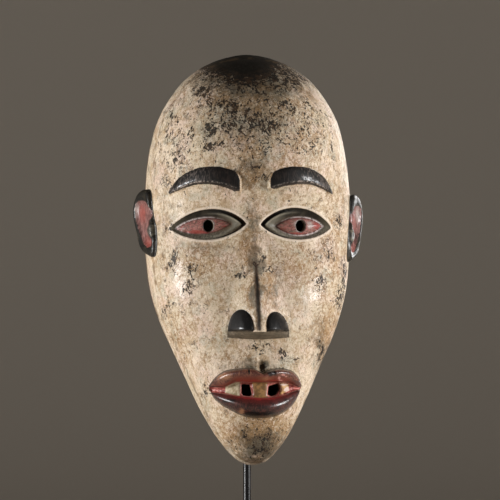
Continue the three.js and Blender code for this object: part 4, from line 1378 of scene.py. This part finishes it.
def handled_lacquer():
    """Node group for lacquered steel that has been handled: fine rubbed lines, finger marks and dust."""
    group = bpy.data.node_groups.new("handled_lacquer", "ShaderNodeTree")
    for way, name, kind in (
            ("INPUT", "Lacquer", "Color"), ("INPUT", "Rubbed", "Color"),
            ("INPUT", "Plain Roughness", "Float"), ("INPUT", "Line Scale", "Vector"),
            ("INPUT", "Dust", "Float"),
            ("OUTPUT", "Color", "Color"), ("OUTPUT", "Roughness", "Float"), ("OUTPUT", "Height", "Float")):
        group.interface.new_socket(name, in_out=way, socket_type="NodeSocket" + kind)
    wires = Wiring(group)
    given = group.nodes.new("NodeGroupInput").outputs
    lines = wires.noise(1.2, 2, 0.5, stretch=given["Line Scale"])
    prints = wires.noise(9, 4, 0.6, shift=1.0)
    dust = wires.times(wires.ramp(wires.noise(1.1, 3, 0.7, shift=2.0), 0.62, 0.78), given["Dust"])
    tone = wires.blend(wires.ramp(lines, 0.45, 0.7), given["Lacquer"], given["Rubbed"])
    made = group.nodes.new("NodeGroupOutput").inputs
    wires.feed(made["Color"], wires.blend(dust, tone, colour(120, 114, 104)))
    handled = wires.ramp(prints, 0.35, 0.65, -0.05, 0.1)
    wires.feed(made["Roughness"], wires.sum(given["Plain Roughness"], handled))
    wires.feed(made["Height"], wires.sum(lines, prints))
    return group


def lacquer(name, group, black, rubbed, rough, line_scale, dust):
    """A steel part's black lacquer, made from the shared group."""
    material = bpy.data.materials.new(name)
    material.use_nodes = True
    wires = Wiring(material.node_tree)
    marks = material.node_tree.nodes.new("ShaderNodeGroup")
    marks.node_tree = group
    for socket, value in zip(marks.inputs, (black, rubbed, rough, line_scale, dust)):
        wires.feed(socket, value)
    shader = material.node_tree.nodes["Principled BSDF"]
    for socket, value in (
            ("Base Color", marks.outputs["Color"]), ("Roughness", marks.outputs["Roughness"]),
            ("Normal", wires.bump(marks.outputs["Height"], LACQUER_RELIEF)),
            ("Specular IOR Level", 0.3), ("Coat Weight", 0.12), ("Coat Roughness", 0.12)):
        wires.feed(shader.inputs[socket], value)
    return material


def round_bar(path, radius, sides=48):
    """A round bar in the plane of the rod, along a path of (depth, height) points."""
    form = bmesh.new()
    path = np.array(path, dtype=float)
    rings = []
    for place, along in zip(path, np.gradient(path, axis=0)):
        turn = Matrix.Rotation(math.atan2(along[0], along[1]), 4, "X")
        middle = Matrix.Translation((ROD_ACROSS, -place[0], place[1]))
        is_end = len(rings) in (0, len(path) - 1)
        ring = bmesh.ops.create_circle(
            form, cap_ends=is_end, segments=sides, radius=radius, matrix=middle @ turn)["verts"]
        rings.append(list({edge for vertex in ring for edge in vertex.link_edges}))
    for below, above in zip(rings, rings[1:]):
        bmesh.ops.bridge_loops(form, edges=below + above)
    bmesh.ops.recalc_face_normals(form, faces=form.faces)
    return form


def ease_edges(form, edges, ease, segments):
    bmesh.ops.bevel(
        form, geom=edges, offset=ease, segments=segments, profile=0.5, affect="EDGES", material=-1)


def eased_box(size, place, ease, segments=2):
    """A box with eased edges. Its size and its middle's place are (x, depth, height)."""
    form = bmesh.new()
    matrix = Matrix.Translation((place[0], -place[1], place[2])) @ Matrix.Diagonal((*size, 1))
    bmesh.ops.create_cube(form, size=1.0, matrix=matrix)
    ease_edges(form, form.edges, ease, segments)
    return form


def stand_rod_form():
    """The bent rod with its ball tip, and the two flat crosspieces welded to it on short arms."""
    foot = BASE_HEIGHT - SOCKET_DEPTH - CHIN_ABOVE_FLOOR
    straight = [(-ROD_BEHIND_RIM, height) for height in np.linspace(foot, HOOK_BEND_HEIGHT, 12)]
    tip_height = HOOK_TIP["height"] - HOOK_TIP["radius"]
    corners = [
        (-ROD_BEHIND_RIM, HOOK_BEND_HEIGHT), (-ROD_BEHIND_RIM, HOOK_BEND_HEIGHT + HOOK_PULLS[0]),
        (HOOK_TIP["depth"], HOOK_TIP["height"] - HOOK_PULLS[1]), (HOOK_TIP["depth"], tip_height),
    ]
    hook = []
    for share in np.linspace(0, 1, 40)[1:]:
        weights = [math.comb(3, k) * share ** k * (1 - share) ** (3 - k) for k in range(4)]
        hook.append(np.dot(weights, corners))
    rod = as_object("rod_finish", round_bar(straight + hook, ROD_RADIUS))
    ball = bmesh.new()
    bmesh.ops.create_uvsphere(ball, u_segments=32, v_segments=20, radius=HOOK_TIP["radius"])
    bmesh.ops.translate(ball, verts=ball.verts, vec=(ROD_ACROSS, -HOOK_TIP["depth"], tip_height))
    parts = [as_object("tip", ball)]
    for strap in STRAPS:
        size = (2 * strap["half"], STRAP_THICKNESS, strap["tall"])
        parts.append(as_object("strap", eased_box(size, (0, strap["depth"], strap["height"]), STRAP_EASE)))
        length = strap["depth"] + ROD_BEHIND_RIM
        middle = (ROD_ACROSS, strap["depth"] - length / 2, strap["height"])
        parts.append(as_object("arm", eased_box((ARM_WIDTH, length, ARM_WIDTH), middle, ARM_EASE)))
        weld = (ROD_ACROSS, strap["depth"] - STRAP_THICKNESS / 2, strap["height"])
        weld_size = (ARM_WIDTH + WELD_BEAD, WELD_BEAD, ARM_WIDTH + WELD_BEAD)
        parts.append(as_object("weld", eased_box(weld_size, weld, WELD_EASE, 3)))
    boolean(rod, parts, "UNION")
    return rod


def stand_base_form():
    """The square plate with its socket for the rod. Lengths are measured from the middle of its underside."""
    plate = bmesh.new()
    stretch = Matrix.Diagonal((BASE_SIDE, BASE_SIDE, BASE_HEIGHT, 1))
    raised = Matrix.Translation((0, 0, BASE_HEIGHT / 2))
    bmesh.ops.create_cube(plate, size=1.0, matrix=raised @ stretch)
    upright = [edge for edge in plate.edges if edge.verts[0].co.xy == edge.verts[1].co.xy]
    ease_edges(plate, upright, BASE_CORNER, 6)
    level = [edge for edge in plate.edges if edge.verts[0].co.z == edge.verts[1].co.z]
    ease_edges(plate, level, BASE_BEVEL, 3)
    base = as_object("base_finish", plate)
    cutters = []
    radius = ROD_RADIUS + FIT_GAP
    floor = BASE_HEIGHT - SOCKET_DEPTH - FIT_GAP
    bore = (floor, 2 * BASE_HEIGHT, radius, radius)
    lead_in = (
        BASE_HEIGHT - SOCKET_LEAD_IN, BASE_HEIGHT + SOCKET_LEAD_IN, radius, radius + 2 * SOCKET_LEAD_IN)
    for low, high, low_radius, high_radius in (bore, lead_in):
        cutter = bmesh.new()
        middle = (ROD_ACROSS, RIM_PLANE_Y + ROD_BEHIND_RIM, (low + high) / 2)
        bmesh.ops.create_cone(
            cutter, cap_ends=True, segments=48, radius1=low_radius, radius2=high_radius, depth=high - low,
            matrix=Matrix.Translation(middle))
        cutters.append(as_object("socket", cutter))
    boolean(base, cutters, "DIFFERENCE")
    return base


def finish_stand():
    marks = handled_lacquer()
    rod, base = stand_rod_form(), stand_base_form()
    held = np.array([0, RIM_PLANE_Y, CHIN_ABOVE_FLOOR])
    set_points(rod.data, (mesh_points(rod.data) + held) * MM)
    set_points(base.data, mesh_points(base.data) * MM)
    gloss = lacquer(
        "black_rod_lacquer", marks, colour(12, 12, 14), colour(24, 24, 27), 0.28, (1, 1, 1 / 30), 0.05)
    satin = lacquer(
        "black_plate_lacquer", marks, colour(22, 22, 22), colour(38, 37, 36), 0.4, (1 / 20, 1, 1), 0.3)
    for piece, node, slot, material in (
            (rod, "stand_rod", "black_rod", gloss), (base, "stand_base", "black_plate", satin)):
        piece.data.polygons.foreach_set("use_smooth", [True] * len(piece.data.polygons))
        piece.data.set_sharp_from_angle(angle=math.radians(SMOOTH_UNDER_DEGREES))
        piece.data.materials.clear()
        piece.data.materials.append(material)
        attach(piece, "root")
        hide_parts(node)


def finish_mask():
    mask = build_mask()
    carve_by_hand(mask.data)
    thin_mesh(mask, MASK_TRIANGLES)
    mesh = mask.data
    paint_guides(mesh)
    set_points(mesh, (mesh_points(mesh) + np.array([0, RIM_PLANE_Y, CHIN_ABOVE_FLOOR])) * MM)
    mesh.polygons.foreach_set("use_smooth", [True] * len(mesh.polygons))
    mesh.materials.clear()
    mesh.materials.append(mask_paint())
    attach(mask, "root")
    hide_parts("mask")


finish_mask()
finish_stand()

# Camera at the photograph's angle, far off so that the view is nearly parallel
CAMERA_AZIMUTH = math.radians(-7)
CAMERA_DISTANCE = 12.0
VIEW_HEIGHT = 0.2677
VIEW_ACROSS = 0.0014
VIEW_DEPTH_AHEAD = 0.045
VIEW_SPAN = 0.390
SENSOR_WIDTH = 36
SEEN_AS_FAR_AS = 50
# Soft lights: azimuth in degrees round the mask, distance, height, width, length up and down, and watts
SOFTBOXES = dict(
    left_softbox=(-78, 1.25, 0.22, 0.42, 0.5, 17.5),
    right_softbox=(66, 1.25, 0.36, 0.42, 0.5, 18.0),
    rear_softbox=(148, 1.6, 0.5, 0.5, 0.6, 7.0),
)
# The sheet under and behind the object: where it starts in front and where it bends up, the radius and the
# steps of the bend, how high it goes and half its width
SHEET = dict(front=-5.0, bend=2.4, bend_radius=1.1, bend_steps=16, top=4.5, half_width=7.0)
SHEET_COLOUR = (203, 193, 180)
ROOM_COLOUR = (150, 146, 140)
ROOM_STRENGTH = 0.24


def add_camera():
    data = bpy.data.cameras.new("camera")
    data.sensor_width = SENSOR_WIDTH
    data.lens = SENSOR_WIDTH * CAMERA_DISTANCE / VIEW_SPAN
    data.clip_end = SEEN_AS_FAR_AS
    camera = bpy.data.objects.new("camera", data)
    bpy.context.scene.collection.objects.link(camera)
    right = (math.cos(CAMERA_AZIMUTH), math.sin(CAMERA_AZIMUTH))
    back = (math.sin(CAMERA_AZIMUTH), -math.cos(CAMERA_AZIMUTH))
    middle_y = RIM_PLANE_Y * MM - VIEW_DEPTH_AHEAD
    across = VIEW_ACROSS - middle_y * right[1]
    camera.location = (
        right[0] * across + back[0] * CAMERA_DISTANCE,
        middle_y + right[1] * across + back[1] * CAMERA_DISTANCE,
        VIEW_HEIGHT,
    )
    camera.rotation_euler = (math.pi / 2, 0, CAMERA_AZIMUTH)
    bpy.context.scene.camera = camera


def add_softbox(name, azimuth, distance, height, wide, tall, watts):
    """A soft light at an azimuth round the mask, aimed at the middle of the view."""
    data = bpy.data.lights.new(name, "AREA")
    data.shape = "RECTANGLE"
    data.size = wide
    data.size_y = tall
    data.energy = watts
    light = bpy.data.objects.new(name, data)
    bpy.context.scene.collection.objects.link(light)
    angle = math.radians(azimuth)
    light.location = (distance * math.sin(angle), -distance * math.cos(angle), height)
    drop = math.atan2(height - VIEW_HEIGHT, distance)
    light.rotation_euler = (math.pi / 2 - drop, 0, angle)


def floor_paper():
    """Pale matt paper that can't be seen from its reverse, so that it never hides the object."""
    material = bpy.data.materials.new("pale_floor")
    material.use_nodes = True
    nodes, links = material.node_tree.nodes, material.node_tree.links
    paper = nodes["Principled BSDF"]
    paper.inputs["Base Color"].default_value = colour(*SHEET_COLOUR)
    paper.inputs["Roughness"].default_value = 0.9
    by_face = nodes.new("ShaderNodeMixShader")
    links.new(nodes.new("ShaderNodeNewGeometry").outputs["Backfacing"], by_face.inputs[0])
    links.new(paper.outputs[0], by_face.inputs[1])
    links.new(nodes.new("ShaderNodeBsdfTransparent").outputs[0], by_face.inputs[2])
    links.new(by_face.outputs[0], nodes["Material Output"].inputs["Surface"])
    return material


def add_stage():
    """A pale sheet that lies on the floor and curves up behind the object."""
    form = bmesh.new()
    bend, radius, steps, half = SHEET["bend"], SHEET["bend_radius"], SHEET["bend_steps"], SHEET["half_width"]
    path = [(SHEET["front"], 0.0), (bend, 0.0)]
    for i in range(1, steps + 1):
        angle = i / steps * math.pi / 2
        path.append((bend + radius * math.sin(angle), radius * (1 - math.cos(angle))))
    path.append((bend + radius, SHEET["top"]))
    line = [form.verts.new((-half, y, z)) for y, z in path]
    edges = [form.edges.new(pair) for pair in zip(line, line[1:])]
    grown = bmesh.ops.extrude_edge_only(form, edges=edges)["geom"]
    moved = [item for item in grown if isinstance(item, bmesh.types.BMVert)]
    bmesh.ops.translate(form, verts=moved, vec=(2 * half, 0, 0))
    form.normal_update()
    lowest = min(form.faces, key=lambda face: face.calc_center_median().z)
    if lowest.normal.z < 0:
        bmesh.ops.reverse_faces(form, faces=form.faces)
    floor = as_object("floor", form)
    floor.data.polygons.foreach_set("use_smooth", [True] * len(floor.data.polygons))
    floor.data.materials.append(floor_paper())


def add_room_light():
    world = bpy.data.worlds.new("room")
    world.use_nodes = True
    background = world.node_tree.nodes["Background"]
    background.inputs["Color"].default_value = colour(*ROOM_COLOUR)
    background.inputs["Strength"].default_value = ROOM_STRENGTH
    bpy.context.scene.world = world


add_camera()
for softbox, values in SOFTBOXES.items():
    add_softbox(softbox, *values)
add_stage()
add_room_light()
bpy.context.scene.view_settings.view_transform = "Standard"
